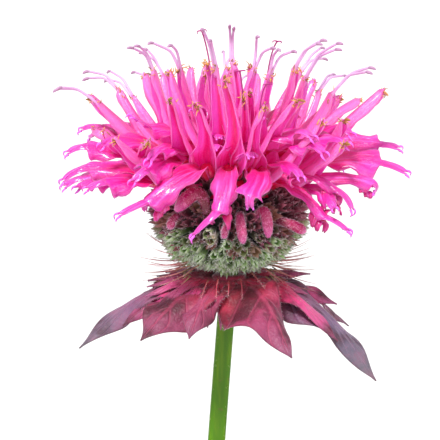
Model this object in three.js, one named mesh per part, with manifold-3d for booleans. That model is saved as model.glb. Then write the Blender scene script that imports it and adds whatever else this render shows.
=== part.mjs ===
// Potted bee balm: one flowering stem and two leafy side shoots, planted in soil in a plain clay pot.
// Millimetres, +Z up. The origin is the middle of the pot's flat underside, and the flower faces -Y.

import * as THREE from "three";
import { mergeVertices } from "three/addons/utils/BufferGeometryUtils.js";
import Module from "manifold-3d";

const wasm = await Module();
wasm.setup();

// The clearance between pieces that sit against each other, and the size of detail that fusing may lose
const GAP = 0.3;
const SLIVER = 0.02;

// The pot
const POT_HEIGHT = 108;
const POT_FOOT_RADIUS = 44;
const POT_SHOULDER_RADIUS = 57;
const POT_RIM_RADIUS = 62;
const POT_RIM_HEIGHT = 23;
const POT_WALL = 5;
const POT_FLOOR = 7;
const POT_EDGE = 2;
const DRAIN_RADIUS = 3.5;
const DRAIN_REACH = 21;
const DRAIN_COUNT = 3;
const POT_SIDES = 32;

// The soil
const SOIL_EDGE_DEPTH = 12;
const SOIL_MOUND = 4;
const SOIL_RINGS = 4;
const SOIL_RELIEF = 0.9;

// The square stems: widths at foot and top, how much of each side its corners take, and the depth in the soil
const STEM_WIDTHS = [4.5, 4];
const SHOOT_WIDTHS = [3.2, 2.3];
const STEM_CORNER = 0.3;
const STEM_DEPTH = 16;
const STEM_STEPS = 8;

// The bloom: its node, where the bracts leave the stem, and the centre that its flowers spread from
const BLOOM = new THREE.Vector3(4, 0, 250);
const HEAD_CENTRE_RISE = 14;
const CORE_RADIUS = 13;
const SEAT_ANGLE = 22.5;
const STEM_IN_HEAD = 7;
const CORE_SIDES = 18;

// The calyxes
const CALYX_ROOT = 9.5;
const CALYX_MOUTH = 16.8;
const CALYX_TIP = 18.6;
const CALYX_RADIUS = 1.6;
const CALYX_FLARE = 1.9;
const CALYX_HOLLOW = 1.1;
const CALYX_SIDES = 5;

// The two-lipped flowers
const FLOWER_ROOT = 9.5;
const FLOWER_THROAT = 20;
const THROAT_WIDTH = 3.4;
const THROAT_DEPTH = 3.4;
const LIP_WIDTHS = [5, 6.4, 2.6, 1.4];
const HOOD_LENGTH = 19;
const LIP_LENGTH = 13;
const TONGUE_LENGTH = 7;
const LIP_DEPTHS = [1.9, 1.6, 1, 0.8];
const HOOD_WIDTHS = [2.2, 1.9, 1.1, 0.75, 1.1];
const HOOD_DEPTHS = [2.4, 2.1, 1.2, 0.75, 1.1];
const STAMEN_LENGTH = 10;
const TOP_FLOWERS = 65;

// The leaves: the share of the length that is stalk, the cut, lean and size of the teeth, the fold along the
// midrib and the wave of the edge
const LEAF_THICKNESS = 0.9;
const LEAF_STALK = 0.1;
const STALK_HALF_WIDTH = 0.65;
const LEAF_TIP_HALF_WIDTH = 0.5;
const TOOTH_CUT = 0.16;
const TOOTH_LEAN = 0.35;
const LEAF_FOLD = 0.2;
const LEAF_WAVE = 0.05;

// The bracts and the collar that they stand on
const BRACT_THICKNESS = 0.8;
const BRACT_FOLD = 0.16;
const BRACT_WAVE = 0.08;
const BRACT_SAG = 6;
const BRACT_ROOT_HALF_WIDTH = 1;
const BRACT_TIP_HALF_WIDTH = 0.4;
const COLLAR_RADIUS = 4.6;
const COLLAR_DEPTH = 3.4;
const COLLAR_TOP = 1;
const BRACT_ROOT = 3;
const NARROW_DROP = 0.4;
const BRACT_DROP = 1.3;

const degrees = THREE.MathUtils.degToRad;

// A steady draw between -1 and 1 for item number i and use number k
function draw(i, k) {
  const value = Math.sin(i * 12.9898 + k * 78.233 + 4.137) * 43758.5453;
  return 2 * (value - Math.floor(value)) - 1;
}

// The direction at an azimuth, 0 towards the front and 90 to the right, and a height angle
function ray(azimuth, height) {
  const a = degrees(azimuth);
  const h = degrees(height);
  return new THREE.Vector3(Math.cos(h) * Math.sin(a), -Math.cos(h) * Math.cos(a), Math.sin(h));
}

function sideways(azimuth) {
  return ray(azimuth + 90, 0);
}

function along(start, direction, length) {
  return start.clone().addScaledVector(direction, length);
}

function mix(a, b, share) {
  return a + (b - a) * share;
}

// A closed solid from its corners and triangles, turned so that its faces point out
function solid(corners, triangles) {
  let volume = 0;
  for (const [a, b, c] of triangles) {
    volume += corners[a].dot(corners[b].clone().cross(corners[c]));
  }
  const ordered = volume < 0 ? triangles.map(([a, b, c]) => [a, c, b]) : triangles;
  const vertProperties = new Float32Array(corners.flatMap((corner) => corner.toArray()));
  const triVerts = new Uint32Array(ordered.flat());
  return new wasm.Manifold(new wasm.Mesh({ numProp: 3, vertProperties, triVerts }));
}

function join(solids) {
  return solids.reduce((whole, next) => whole.add(next));
}

// The outer skin of a fused solid: hollows that fusing seals are filled, and slivers are eased away
function outerSkin(body) {
  const skins = body.simplify(SLIVER).decompose();
  return skins.reduce((largest, next) => (next.volume() > largest.volume() ? next : largest));
}

// A solid skinned over rings that have the same number of corners
function loft(rings) {
  const sides = rings[0].length;
  const triangles = [];
  for (let row = 0; row + 1 < rings.length; row += 1) {
    for (let k = 0; k < sides; k += 1) {
      const a = row * sides + k;
      const b = row * sides + (k + 1) % sides;
      triangles.push([a, b, b + sides], [a, b + sides, a + sides]);
    }
  }
  const last = (rings.length - 1) * sides;
  for (let k = 1; k + 1 < sides; k += 1) {
    triangles.push([0, k + 1, k], [last, last + k, last + k + 1]);
  }
  return solid(rings.flat(), triangles);
}

// A thin solid blade: each row holds points from the left edge to the right one, and half its thickness
function blade(rows) {
  const columns = rows[0].points.length;
  const corners = [];
  for (const { points, lift } of rows) {
    corners.push(...points.map((point) => point.clone().add(lift)));
    corners.push(...points.map((point) => point.clone().sub(lift)));
  }
  const top = (row, column) => row * 2 * columns + column;
  const under = (row, column) => top(row, column) + columns;
  const triangles = [];
  for (let row = 0; row + 1 < rows.length; row += 1) {
    for (let k = 0; k + 1 < columns; k += 1) {
      triangles.push([top(row, k), top(row, k + 1), top(row + 1, k + 1)]);
      triangles.push([top(row, k), top(row + 1, k + 1), top(row + 1, k)]);
      triangles.push([under(row, k), under(row + 1, k + 1), under(row, k + 1)]);
      triangles.push([under(row, k), under(row + 1, k), under(row + 1, k + 1)]);
    }
    const right = columns - 1;
    triangles.push([top(row, 0), top(row + 1, 0), under(row + 1, 0)]);
    triangles.push([top(row, 0), under(row + 1, 0), under(row, 0)]);
    triangles.push([top(row, right), under(row + 1, right), top(row + 1, right)]);
    triangles.push([top(row, right), under(row, right), under(row + 1, right)]);
  }
  const end = rows.length - 1;
  for (let k = 0; k + 1 < columns; k += 1) {
    triangles.push([top(0, k), under(0, k + 1), top(0, k + 1)], [top(0, k), under(0, k), under(0, k + 1)]);
    triangles.push([top(end, k), top(end, k + 1), under(end, k + 1)]);
    triangles.push([top(end, k), under(end, k + 1), under(end, k)]);
  }
  return solid(corners, triangles);
}

// Each point of a path with the direction onwards, the direction to its right and the one off its face
function stations(path, right) {
  return path.map((point, i) => {
    const before = path[Math.max(i - 1, 0)];
    const after = path[Math.min(i + 1, path.length - 1)];
    const onwards = after.clone().sub(before).normalize();
    const side = right.clone().addScaledVector(onwards, -right.dot(onwards)).normalize();
    return { point, onwards, side, face: side.clone().cross(onwards).negate() };
  });
}

// A round rod along a path, its radius given at each point
function rod(path, right, radii, sides) {
  const rings = stations(path, right).map(({ point, side, face }, i) => (
    Array.from({ length: sides }, (_, k) => {
      const turn = 2 * Math.PI * k / sides;
      const across = point.clone().addScaledVector(side, radii[i] * Math.cos(turn));
      return across.addScaledVector(face, radii[i] * Math.sin(turn));
    })
  ));
  return loft(rings);
}

function bend(start, middle, end, steps) {
  return new THREE.QuadraticBezierCurve3(start, middle, end).getPoints(steps);
}

// A solid of revolution about the Z axis from an outline of radii and heights
function turned(outline, sides) {
  const geometry = new THREE.LatheGeometry(outline.map(([r, z]) => new THREE.Vector2(r, z)), sides);
  geometry.rotateX(Math.PI / 2);
  geometry.deleteAttribute("normal");
  geometry.deleteAttribute("uv");
  const merged = mergeVertices(geometry, 1e-4);
  const places = merged.getAttribute("position");
  const corners = Array.from({ length: places.count }, (_, i) => (
    new THREE.Vector3().fromBufferAttribute(places, i)
  ));
  const index = Array.from(merged.getIndex().array);
  const triangles = [];
  for (let i = 0; i < index.length; i += 3) {
    const [a, b, c] = index.slice(i, i + 3);
    if (a !== b && b !== c && c !== a) triangles.push([a, b, c]);
  }
  return solid(corners, triangles);
}

// The pot: a tapered wall with a thicker band at the rim, and a floor with drain holes round its middle
function potSolid() {
  const bandFoot = POT_HEIGHT - POT_RIM_HEIGHT;
  const outline = [
    [0, 0],
    [POT_FOOT_RADIUS - POT_EDGE, 0],
    [POT_FOOT_RADIUS, POT_EDGE],
    [POT_SHOULDER_RADIUS, bandFoot],
    [POT_RIM_RADIUS - POT_EDGE, bandFoot],
    [POT_RIM_RADIUS - POT_EDGE / 2, bandFoot + POT_EDGE],
    [POT_RIM_RADIUS, POT_HEIGHT - POT_EDGE],
    [POT_RIM_RADIUS - POT_EDGE, POT_HEIGHT],
    [potInside(POT_HEIGHT) + POT_EDGE / 2, POT_HEIGHT],
    [potInside(POT_HEIGHT - POT_EDGE), POT_HEIGHT - POT_EDGE],
    [potInside(POT_FLOOR), POT_FLOOR],
    [0, POT_FLOOR],
  ];
  const drain = turned([[0, -1], [DRAIN_RADIUS, -1], [DRAIN_RADIUS, POT_FLOOR + 1], [0, POT_FLOOR + 1]], 12);
  const drains = Array.from({ length: DRAIN_COUNT }, (_, i) => (
    drain.translate(ray(60 + 360 / DRAIN_COUNT * i, 0).multiplyScalar(DRAIN_REACH).toArray())
  ));
  return drains.reduce((pot, hole) => pot.subtract(hole), turned(outline, POT_SIDES));
}

// The radius of the pot's inside at a height
function potInside(z) {
  const share = z / POT_HEIGHT;
  return mix(POT_FOOT_RADIUS - POT_WALL, POT_RIM_RADIUS - POT_WALL, share);
}

// The height of the soil's surface, mounded towards the middle
function soilHeight(radius) {
  const edge = POT_HEIGHT - SOIL_EDGE_DEPTH;
  const share = radius / potInside(edge);
  return edge + SOIL_MOUND * (1 - share * share);
}

// The soil, filling the pot, with lumps on its surface and a plain hole for each stem
function soilSolid(holes) {
  const floor = POT_FLOOR + GAP;
  const edge = POT_HEIGHT - SOIL_EDGE_DEPTH;
  const circle = (radius, height, ring) => Array.from({ length: POT_SIDES }, (_, k) => {
    const turn = 2 * Math.PI * k / POT_SIDES;
    const lump = ring < 0 ? 0 : SOIL_RELIEF * draw(ring * POT_SIDES + k, 3);
    return new THREE.Vector3(radius * Math.sin(turn), radius * Math.cos(turn), height + lump);
  });
  const rings = [circle(potInside(floor) - GAP, floor, -1), circle(potInside(edge) - GAP, edge, -1)];
  for (let ring = 1; ring < SOIL_RINGS; ring += 1) {
    const radius = (potInside(edge) - GAP) * (1 - ring / SOIL_RINGS);
    rings.push(circle(radius, soilHeight(radius), ring));
  }
  return holes.reduce((soil, hole) => soil.subtract(hole), loft(rings));
}

// The spine of a stem: straight up out of the soil, then in an easy curve to its top
function spine(base, top, bow) {
  const foot = new THREE.Vector3(base.x, base.y, soilHeight(Math.hypot(base.x, base.y)) - STEM_DEPTH);
  const up = new THREE.Vector3(0, 0, 1);
  const ground = along(foot, up, STEM_DEPTH + 3);
  const middle = ground.clone().lerp(top, 0.5).add(bow);
  const points = [foot, along(foot, up, STEM_DEPTH - 2), ground, middle, top];
  return new THREE.CatmullRomCurve3(points, false, "centripetal");
}

// A square stem with blunt corners along its spine, its width eased from foot to top
function stemSolid(line, widths, extra) {
  const rings = line.getSpacedPoints(STEM_STEPS).map((point, i) => {
    const half = mix(...widths, i / STEM_STEPS) / 2 + extra;
    const inner = half * (1 - STEM_CORNER);
    const corners = [
      [inner, half], [half, inner], [half, -inner], [inner, -half],
      [-inner, -half], [-half, -inner], [-half, inner], [-inner, half],
    ];
    return corners.map(([x, y]) => new THREE.Vector3(point.x + x, point.y + y, point.z));
  });
  return loft(rings);
}

// A plain round hole round the buried end of a stem, clear of its corners and open above the soil
function stemHole(line, [width]) {
  const radius = 1.02 * (width / 2 * Math.hypot(1, 1 - STEM_CORNER) + GAP);
  const mouth = STEM_DEPTH + 2 * SOIL_MOUND;
  const hole = turned([[0, -GAP], [radius, -GAP], [radius, mouth], [0, mouth]], 16);
  return hole.translate(line.getPoint(0).toArray());
}

// A toothed leaf on its short stalk. The path leaves the stem at one angle and arches over to another
function leafSolid(start, azimuth, rise, fall, length, halfWidth, teeth, number) {
  const side = sideways(azimuth);
  const count = 2 * teeth + 1;
  const shares = [0, LEAF_STALK];
  for (let i = 1; i <= count; i += 1) shares.push(mix(LEAF_STALK, 1, i / count));
  let point = start.clone();
  let reached = 0;
  const path = shares.map((share) => {
    const angle = mix(rise, fall, (share + reached) / 2);
    point = along(point, ray(azimuth + 8 * draw(number, 1) * share, angle), (share - reached) * length);
    reached = share;
    return point;
  });
  const rows = stations(path, side).map(({ onwards, side: across, face, point: middle }, i) => {
    const run = Math.max(0, (shares[i] - LEAF_STALK) / (1 - LEAF_STALK));
    const outline = halfWidth * Math.sin(Math.PI * run ** 0.62) ** 0.85;
    const tip = i === shares.length - 1;
    const notched = i % 2 === 1 && i > 1;
    const least = tip ? LEAF_TIP_HALF_WIDTH : STALK_HALF_WIDTH;
    const half = Math.max(outline * (notched ? 1 - TOOTH_CUT : 1), least);
    const forward = notched || tip ? 0 : TOOTH_LEAN * run * length / count;
    const wave = LEAF_WAVE * outline * Math.sin(i * 1.3 + number);
    const edge = (sign) => along(
      along(along(middle, across, sign * half), onwards, forward), face, LEAF_FOLD * half + sign * wave);
    const lift = face.clone().multiplyScalar(LEAF_THICKNESS / 2);
    return { points: [edge(-1), middle.clone(), edge(1)], lift };
  });
  return blade(rows);
}

// Pairs of opposite leaves up a stem. Each pair: share of the stem, azimuth, rise, fall, length, half width
function leafPairs(line, pairs, teeth, seed) {
  const leaves = [];
  pairs.forEach(([share, azimuth, rise, fall, length, halfWidth], pair) => {
    const node = line.getPointAt(share);
    for (const turn of [0, 180]) {
      const number = seed + 2 * pair + turn / 180;
      const size = 1 + 0.06 * draw(number, 2);
      leaves.push(leafSolid(node, azimuth + turn + 6 * draw(number, 4), rise + 5 * draw(number, 5),
        fall + 6 * draw(number, 6), length * size, halfWidth * size, teeth, number));
    }
  });
  return leaves;
}

// The flowering stem with its leaf pairs
const mainSpine = spine(
  new THREE.Vector3(-3, 1, 0),
  along(BLOOM, new THREE.Vector3(0.09, 0, 1), STEM_IN_HEAD),
  new THREE.Vector3(-3.5, 0.5, 0),
);
const MAIN_PAIRS = [
  [0.24, 98, 34, -30, 58, 11.5],
  [0.43, 8, 34, -36, 64, 12.5],
  [0.63, 96, 36, -38, 56, 10.5],
];
const MAIN_BUDDING_PAIRS = [
  [0.435, 50, 62, 30, 20, 3.6],
  [0.635, 30, 62, 30, 17, 3.2],
];

function floweringStem() {
  return join([
    stemSolid(mainSpine, STEM_WIDTHS, 0),
    ...leafPairs(mainSpine, MAIN_PAIRS, 6, 10),
    ...leafPairs(mainSpine, MAIN_BUDDING_PAIRS, 1, 20),
  ]);
}

// The two shorter side shoots
const SHOOTS = [
  {
    name: "side_shoot_a",
    line: spine(new THREE.Vector3(-25, 17, 0), new THREE.Vector3(-40, 30, 172), new THREE.Vector3(3, -2, 0)),
    pairs: [[0.38, 158, 28, -24, 36, 7.4], [0.6, 68, 34, -26, 40, 8.2], [0.8, 160, 42, -16, 34, 7]],
    tuft: [[0.96, 70, 56, 20, 22, 4.4], [0.985, 160, 72, 50, 15, 3]],
    seed: 40,
  },
  {
    name: "side_shoot_b",
    line: spine(new THREE.Vector3(25, -14, 0), new THREE.Vector3(38, -26, 152), new THREE.Vector3(-3, 2, 0)),
    pairs: [[0.44, 118, 28, -24, 34, 7.2], [0.72, 30, 36, -22, 36, 7.6]],
    tuft: [[0.95, 118, 54, 16, 24, 4.8], [0.98, 32, 70, 46, 15, 3]],
    seed: 60,
  },
];

function sideShoot({ line, pairs, tuft, seed }) {
  return join([
    stemSolid(line, SHOOT_WIDTHS, 0),
    ...leafPairs(line, pairs, 4, seed),
    ...leafPairs(line, tuft, 1, seed + 10),
  ]);
}

// The broad bracts, the upper layer first: azimuth, angle at the root, angle at the tip, length, half width
const UPPER_BRACTS = [
  [-62, -8, -24, 21, 3.6],
  [-24, -22, -52, 19, 4.6],
  [32, -28, -44, 26, 7.6],
  [80, -8, -28, 26, 4.6],
  [128, -8, -32, 28, 6],
  [180, -8, -30, 30, 6.4],
  [232, -8, -30, 28, 6],
];
const LOWER_BRACTS = [
  [-76, -18, -34, 36, 5.4],
  [-44, -30, -46, 28, 7],
  [4, -44, -62, 17, 5],
  [58, -26, -46, 44, 6.2],
  [102, -20, -42, 32, 6],
  [148, -20, -44, 34, 6.6],
  [194, -20, -44, 34, 6.4],
  [240, -20, -42, 34, 6.2],
];
const LAYER_DROP = 1.2;
const BRACT_STEPS = 5;
const NARROW_BRACTS = 7;
const NARROW_STEPS = 3;
const NARROW_LENGTH = 16;
const NARROW_HALF_WIDTH = 1.7;

// A bract: smooth edged, waved, broadest near its root and drawn out to a point
function bractSolid([azimuth, root, tip, length, halfWidth], number, drop, steps) {
  const start = along(new THREE.Vector3(0, 0, -drop), ray(azimuth, 0), BRACT_ROOT);
  const path = [start];
  for (let i = 0; i < steps; i += 1) {
    const share = (i + 0.5) / steps;
    const turn = azimuth + 7 * draw(number, 11) * share;
    const fall = mix(root, tip, share) - BRACT_SAG * Math.sin(Math.PI * share);
    path.push(along(path[i], ray(turn, fall), length / steps));
  }
  const rows = stations(path, sideways(azimuth)).map(({ point, side, face }, i) => {
    const share = i / steps;
    const least = i === steps ? BRACT_TIP_HALF_WIDTH : BRACT_ROOT_HALF_WIDTH;
    const half = Math.max(halfWidth * Math.sin(Math.PI * share ** 0.66) ** 0.8, least);
    const wave = BRACT_WAVE * half * Math.sin(2.1 * i + number);
    const left = along(along(point, side, -half), face, -BRACT_FOLD * half + wave);
    const right = along(along(point, side, half), face, -BRACT_FOLD * half - wave);
    return { points: [left, point.clone(), right], lift: face.clone().multiplyScalar(BRACT_THICKNESS / 2) };
  });
  return blade(rows);
}

// The whorl of bracts on its collar, bored for the stem
function bractWhorl(stemClearance) {
  const collar = turned([
    [0, -COLLAR_DEPTH],
    [COLLAR_RADIUS - 1, -COLLAR_DEPTH],
    [COLLAR_RADIUS, -COLLAR_DEPTH / 2],
    [COLLAR_RADIUS - 0.8, COLLAR_TOP],
    [0, COLLAR_TOP],
  ], 16);
  const narrow = Array.from({ length: NARROW_BRACTS }, (_, i) => [
    360 / NARROW_BRACTS * (i + 0.4 * draw(i, 12)), -2, -20, NARROW_LENGTH * (1 + 0.18 * draw(i, 13)),
    NARROW_HALF_WIDTH,
  ]);
  const bracts = [
    ...narrow.map((row, i) => bractSolid(row, 40 + i, NARROW_DROP, NARROW_STEPS)),
    ...UPPER_BRACTS.map((row, i) => bractSolid(row, i, BRACT_DROP, BRACT_STEPS)),
    ...LOWER_BRACTS.map((row, i) => bractSolid(row, 20 + i, BRACT_DROP + LAYER_DROP, BRACT_STEPS)),
  ];
  return join([collar, ...bracts]).translate(BLOOM.toArray()).subtract(stemClearance);
}

const HEAD_CENTRE = along(BLOOM, new THREE.Vector3(0, 0, 1), HEAD_CENTRE_RISE);

// An arc of the round core, from one height angle to another
function coreArc(from, to, steps) {
  return Array.from({ length: steps + 1 }, (_, i) => {
    const angle = degrees(mix(from, to, i / steps));
    return [Math.abs(CORE_RADIUS * Math.cos(angle)) < 1e-9 ? 0 : CORE_RADIUS * Math.cos(angle),
      CORE_RADIUS * Math.sin(angle)];
  });
}

// A calyx: a tube that widens from its root to five pointed teeth round a shallow mouth
function calyxSolid(azimuth, height, size) {
  const out = ray(azimuth, height);
  const side = sideways(azimuth);
  const up = out.clone().cross(side);
  const around = (reach, radius, turn) => along(
    along(along(HEAD_CENTRE, out, reach), side, radius * Math.cos(turn)), up, radius * Math.sin(turn));
  const step = 2 * Math.PI / CALYX_SIDES;
  const corners = [];
  for (let k = 0; k < CALYX_SIDES; k += 1) {
    corners.push(around(CALYX_MOUTH, CALYX_RADIUS * size, k * step));
    corners.push(around(CALYX_TIP * mix(1, size, 0.1), CALYX_FLARE * size, (k + 0.5) * step));
  }
  const rim = corners.length;
  corners.push(along(HEAD_CENTRE, out, CALYX_ROOT), along(HEAD_CENTRE, out, CALYX_MOUTH - CALYX_HOLLOW));
  const [root, hollow] = [rim, rim + 1];
  const triangles = [];
  for (let k = 0; k < CALYX_SIDES; k += 1) {
    const [mouth, tooth] = [2 * k, 2 * k + 1];
    const next = (2 * k + 2) % rim;
    triangles.push([root, next, mouth], [mouth, next, tooth]);
    triangles.push([hollow, mouth, tooth], [hollow, tooth, next]);
  }
  return solid(corners, triangles);
}

// Rings of calyxes over the ball below the open flowers: height angle and how many stand round it
const CALYX_RINGS = [[-43, 9], [-28, 12], [-13, 14], [1, 14], [13.5, 14]];

function calyxes() {
  const all = [];
  CALYX_RINGS.forEach(([height, count], ring) => {
    for (let i = 0; i < count; i += 1) {
      const number = ring * 20 + i;
      const azimuth = 360 / count * (i + 0.5 * (ring % 2) + 0.12 * draw(number, 21));
      all.push(calyxSolid(azimuth, height + 1.6 * draw(number, 22), 1 + 0.06 * draw(number, 23)));
    }
  });
  return all;
}

// Buds that hook out of the calyxes: azimuth, height angle at the root, swing, angle at the end, length
const BUDS = [
  [-30, 10, -20, -6, 9], [10, -3, -4, -66, 8], [40, 0, 4, -62, 8.5], [62, 0, 12, -14, 9], [-58, -4, -8, -8, 6],
  [106, 6, 10, -40, 8], [148, 4, -8, -30, 8], [190, 7, 10, -50, 9], [226, 3, -6, -30, 7], [264, 6, 8, -40, 8],
];

function budSolid([azimuth, height, swing, droop, length]) {
  const start = along(HEAD_CENTRE, ray(azimuth, height), CALYX_MOUTH - 2);
  const middle = along(start, ray(azimuth, height + 12), 0.45 * length + 1.5);
  const end = along(middle, ray(azimuth + swing, droop), 0.6 * length);
  return rod(bend(start, middle, end, 4), sideways(azimuth), [0.9, 1.05, 1.3, 1.4, 0.7], 5);
}

// The ball of calyxes, with a conical seat for the crown of open flowers and a socket for the stem
function calyxHead(stemClearance) {
  const floor = -GAP / Math.cos(degrees(SEAT_ANGLE));
  const core = turned([...coreArc(-90, SEAT_ANGLE - 2, 5), [0, floor]], CORE_SIDES);
  const placed = core.translate(HEAD_CENTRE.toArray());
  return join([placed, ...calyxes(), ...BUDS.map(budSolid)]).subtract(stemClearance);
}

// The open flowers that show from the front, set by hand. Each row: azimuth, height angle, rise of the hood,
// its swing, angle of the lip, its swing, size, turn of the tongue, angle of the tongue
const FRONT_FLOWERS = [
  [-100, 38, 52, -2, 32, 4, 1.02, -6, 2],
  [-88, 43, 44, -8, 8, 0, 1.06, 0, -6],
  [-84, 37, 44, 6, -2, -6, 1.12, 0, -16],
  [-66, 34, 46, -14, -12, -16, 1.04, -10, -16],
  [-58, 40, 44, -12, -2, -14, 0.85, 0, -50],
  [-44, 48, 58, -20, -20, -26, 0.92, 0, -50],
  [-18, 43, 42, -34, -28, -46, 1.15, 0, -36],
  [-2, 43, 6, 0, -52, -50, 0.9, -30, -44],
  [20, 48, 50, -4, -54, -26, 0.76, 20, -72],
  [36, 50, 52, 16, -8, 16, 0.8, 0, -60],
  [42, 33, 50, 6, -44, 20, 1, 20, -36],
  [60, 37, 42, 6, -30, 10, 0.95, 10, -32],
  [70, 31, 30, 0, -6, 4, 1.1, 0, -70],
  [82, 36, 44, 0, -2, 6, 1.08, 4, -14],
  [94, 45, 56, 0, 6, 0, 1.08, 0, -2],
  [-72, 55, 66, 10, 12, -10, 0.95, 0, 0],
  [-50, 58, 70, 6, 6, -30, 0.95, 0, -20],
  [-22, 58, 72, -10, 6, -30, 0.86, 0, -30],
  [-6, 56, 54, -20, -2, -24, 0.86, 0, -40],
  [14, 54, 46, -6, -4, 20, 0.84, 0, -40],
  [38, 60, 70, 0, 4, 20, 0.92, 0, -20],
  [62, 56, 68, 0, 10, 6, 0.98, 0, -6],
  [84, 58, 60, 0, 16, 10, 0.98, 0, 0],
];

// Rings of open flowers at the back and on top: count, first and last azimuth, height angle, rise of the
// hood, angle of the lip, size
const FLOWER_RINGS = [
  [10, 105, 251, 40, 48, -14, 1.05],
  [7, 98, 268, 56, 66, 8, 0.96],
  [8, 0, 360, 72, 80, 62, 0.92],
  [2, 0, 360, 84, 88, 80, 0.9],
];

function openFlowers() {
  const rows = [...FRONT_FLOWERS];
  FLOWER_RINGS.forEach(([count, first, last, height, rise, lip, size], ring) => {
    for (let i = 0; i < count; i += 1) {
      const n = ring * 20 + i;
      const azimuth = mix(first, last, (i + 0.5) / count) + 4 * draw(n, 31);
      rows.push([azimuth, height + 3 * draw(n, 32), rise + 6 * draw(n, 33), 9 * draw(n, 34),
        lip + 12 * draw(n, 35), 14 * draw(n, 36), size * (1 + 0.07 * draw(n, 37)), 18 * draw(n, 38),
        lip - 18 + 20 * draw(n, 39)]);
    }
  });
  return rows;
}

// The triangles of a four-sided branch that grows on from four corners of a throat, with a flat end
function branch(first, start, count) {
  const rings = [first];
  for (let i = 0; i < count; i += 1) rings.push([0, 1, 2, 3].map((k) => start + 4 * i + k));
  const triangles = [];
  for (let i = 0; i < count; i += 1) {
    const [near, far] = [rings[i], rings[i + 1]];
    for (let k = 0; k < 4; k += 1) {
      const n = (k + 1) % 4;
      triangles.push([near[k], near[n], far[n]], [near[k], far[n], far[k]]);
    }
  }
  const end = rings[count];
  triangles.push([end[0], end[1], end[2]], [end[0], end[2], end[3]]);
  return triangles;
}

// The corners of a four-sided bar at each point of a path after the first
function barCorners(path, right, widths, depths) {
  return stations(path, right).slice(1).flatMap(({ point, side, face }, i) => (
    [[-1, -1], [1, -1], [1, 1], [-1, 1]].map(([x, y]) => (
      point.clone().addScaledVector(side, x * widths[i] / 2).addScaledVector(face, y * depths[i] / 2)
    ))
  ));
}

// A two-lipped flower, from its root to a throat of six corners. The broad lip, with its shoulders and tongue,
// grows on from the lower four. The narrow hood grows on from the upper four and ends in the stamens, which
// stand out past it. The topmost flowers hide their lips, so they have only the hood
function flowerSolid([azimuth, height, rise, hoodSwing, droop, lipSwing, size, tongueTurn, tongueDroop], number) {
  const out = ray(azimuth, height);
  const side = sideways(azimuth);
  const up = out.clone().cross(side);
  const throat = along(HEAD_CENTRE, out, FLOWER_THROAT * mix(1, size, 0.3));
  const hidden = height > TOP_FLOWERS;
  const half = THROAT_WIDTH / 2 * (hidden ? 0.7 : size);
  const deep = THROAT_DEPTH / 2 * (hidden ? 0.7 : size);
  const corner = (x, y) => along(along(throat, side, x * half), up, y * deep);
  const corners = [
    corner(-1, -1), corner(1, -1), corner(1.1, 0.1), corner(0.8, 1), corner(-0.8, 1), corner(-1.1, 0.1),
    along(HEAD_CENTRE, out, FLOWER_ROOT),
  ];
  const triangles = [0, 1, 2, 3, 4, 5].map((k) => [6, (k + 1) % 6, k]);

  const hoodEnd = ray(azimuth + hoodSwing, rise);
  const hoodTip = along(throat, hoodEnd, HOOD_LENGTH * size);
  const hoodMiddle = along(throat, out.clone().add(hoodEnd), 0.225 * HOOD_LENGTH * size);
  const aim = ray(azimuth + hoodSwing + 7 * draw(number, 41), rise - 4 + 6 * draw(number, 42));
  const reach = STAMEN_LENGTH * (1 + 0.25 * draw(number, 43));
  const threads = along(hoodTip, aim, 0.5 * reach);
  const hoodPath = [
    ...bend(throat, hoodMiddle, hoodTip, 3), threads, along(threads, ray(azimuth, rise - 22), 0.5 * reach),
  ];
  const hoodFoot = corners.length;
  corners.push(...barCorners(hoodPath, side, HOOD_WIDTHS, HOOD_DEPTHS));
  triangles.push(...branch([5, 2, 3, 4], hoodFoot, HOOD_WIDTHS.length));
  if (hidden) {
    triangles.push([0, 2, 5], [0, 1, 2]);
    return solid(corners, triangles);
  }

  const lipEnd = ray(azimuth + lipSwing, droop);
  const lipTip = along(throat, lipEnd, LIP_LENGTH * size);
  const lipMiddle = along(throat, ray(azimuth, (height + droop) / 2), LIP_LENGTH * size / 2);
  const tongueEnd = ray(azimuth + lipSwing + tongueTurn, tongueDroop);
  const tongueTip = along(lipTip, tongueEnd, TONGUE_LENGTH * size);
  const tongueMiddle = along(lipTip, lipEnd.clone().add(tongueEnd), TONGUE_LENGTH * size / 4);
  const lipPath = [...bend(throat, lipMiddle, lipTip, 2), ...bend(lipTip, tongueMiddle, tongueTip, 2).slice(1)];
  const lipFoot = corners.length;
  const lipWidths = LIP_WIDTHS.map((width) => width * size);
  corners.push(...barCorners(lipPath, sideways(azimuth + lipSwing / 2), lipWidths, LIP_DEPTHS));
  triangles.push(...branch([0, 1, 2, 5], lipFoot, LIP_WIDTHS.length));
  return solid(corners, triangles);
}

// The crown of open flowers on its own small core, seated in the calyx head
function flowerCrown() {
  const core = turned([[0, 0], ...coreArc(SEAT_ANGLE, 90, 3)], CORE_SIDES);
  return join([core.translate(HEAD_CENTRE.toArray()), ...openFlowers().map(flowerSolid)]);
}

// A mesh with its name and finish, from its finished solid
function piece(name, body, finish) {
  const { vertProperties, triVerts } = outerSkin(body).getMesh();
  const geometry = new THREE.BufferGeometry();
  geometry.setAttribute("position", new THREE.BufferAttribute(vertProperties, 3));
  geometry.setIndex(new THREE.BufferAttribute(triVerts, 1));
  geometry.computeVertexNormals();
  const mesh = new THREE.Mesh(geometry, new THREE.MeshStandardMaterial({ metalness: 0, ...finish }));
  mesh.name = name;
  return mesh;
}

const shootHoles = SHOOTS.map(({ line }) => stemHole(line, SHOOT_WIDTHS));
const stemHoles = [stemHole(mainSpine, STEM_WIDTHS), ...shootHoles];
const wideStem = stemSolid(mainSpine, STEM_WIDTHS, GAP);
const stemClearance = wideStem.add(wideStem.translate([0, 0, GAP]));

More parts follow.
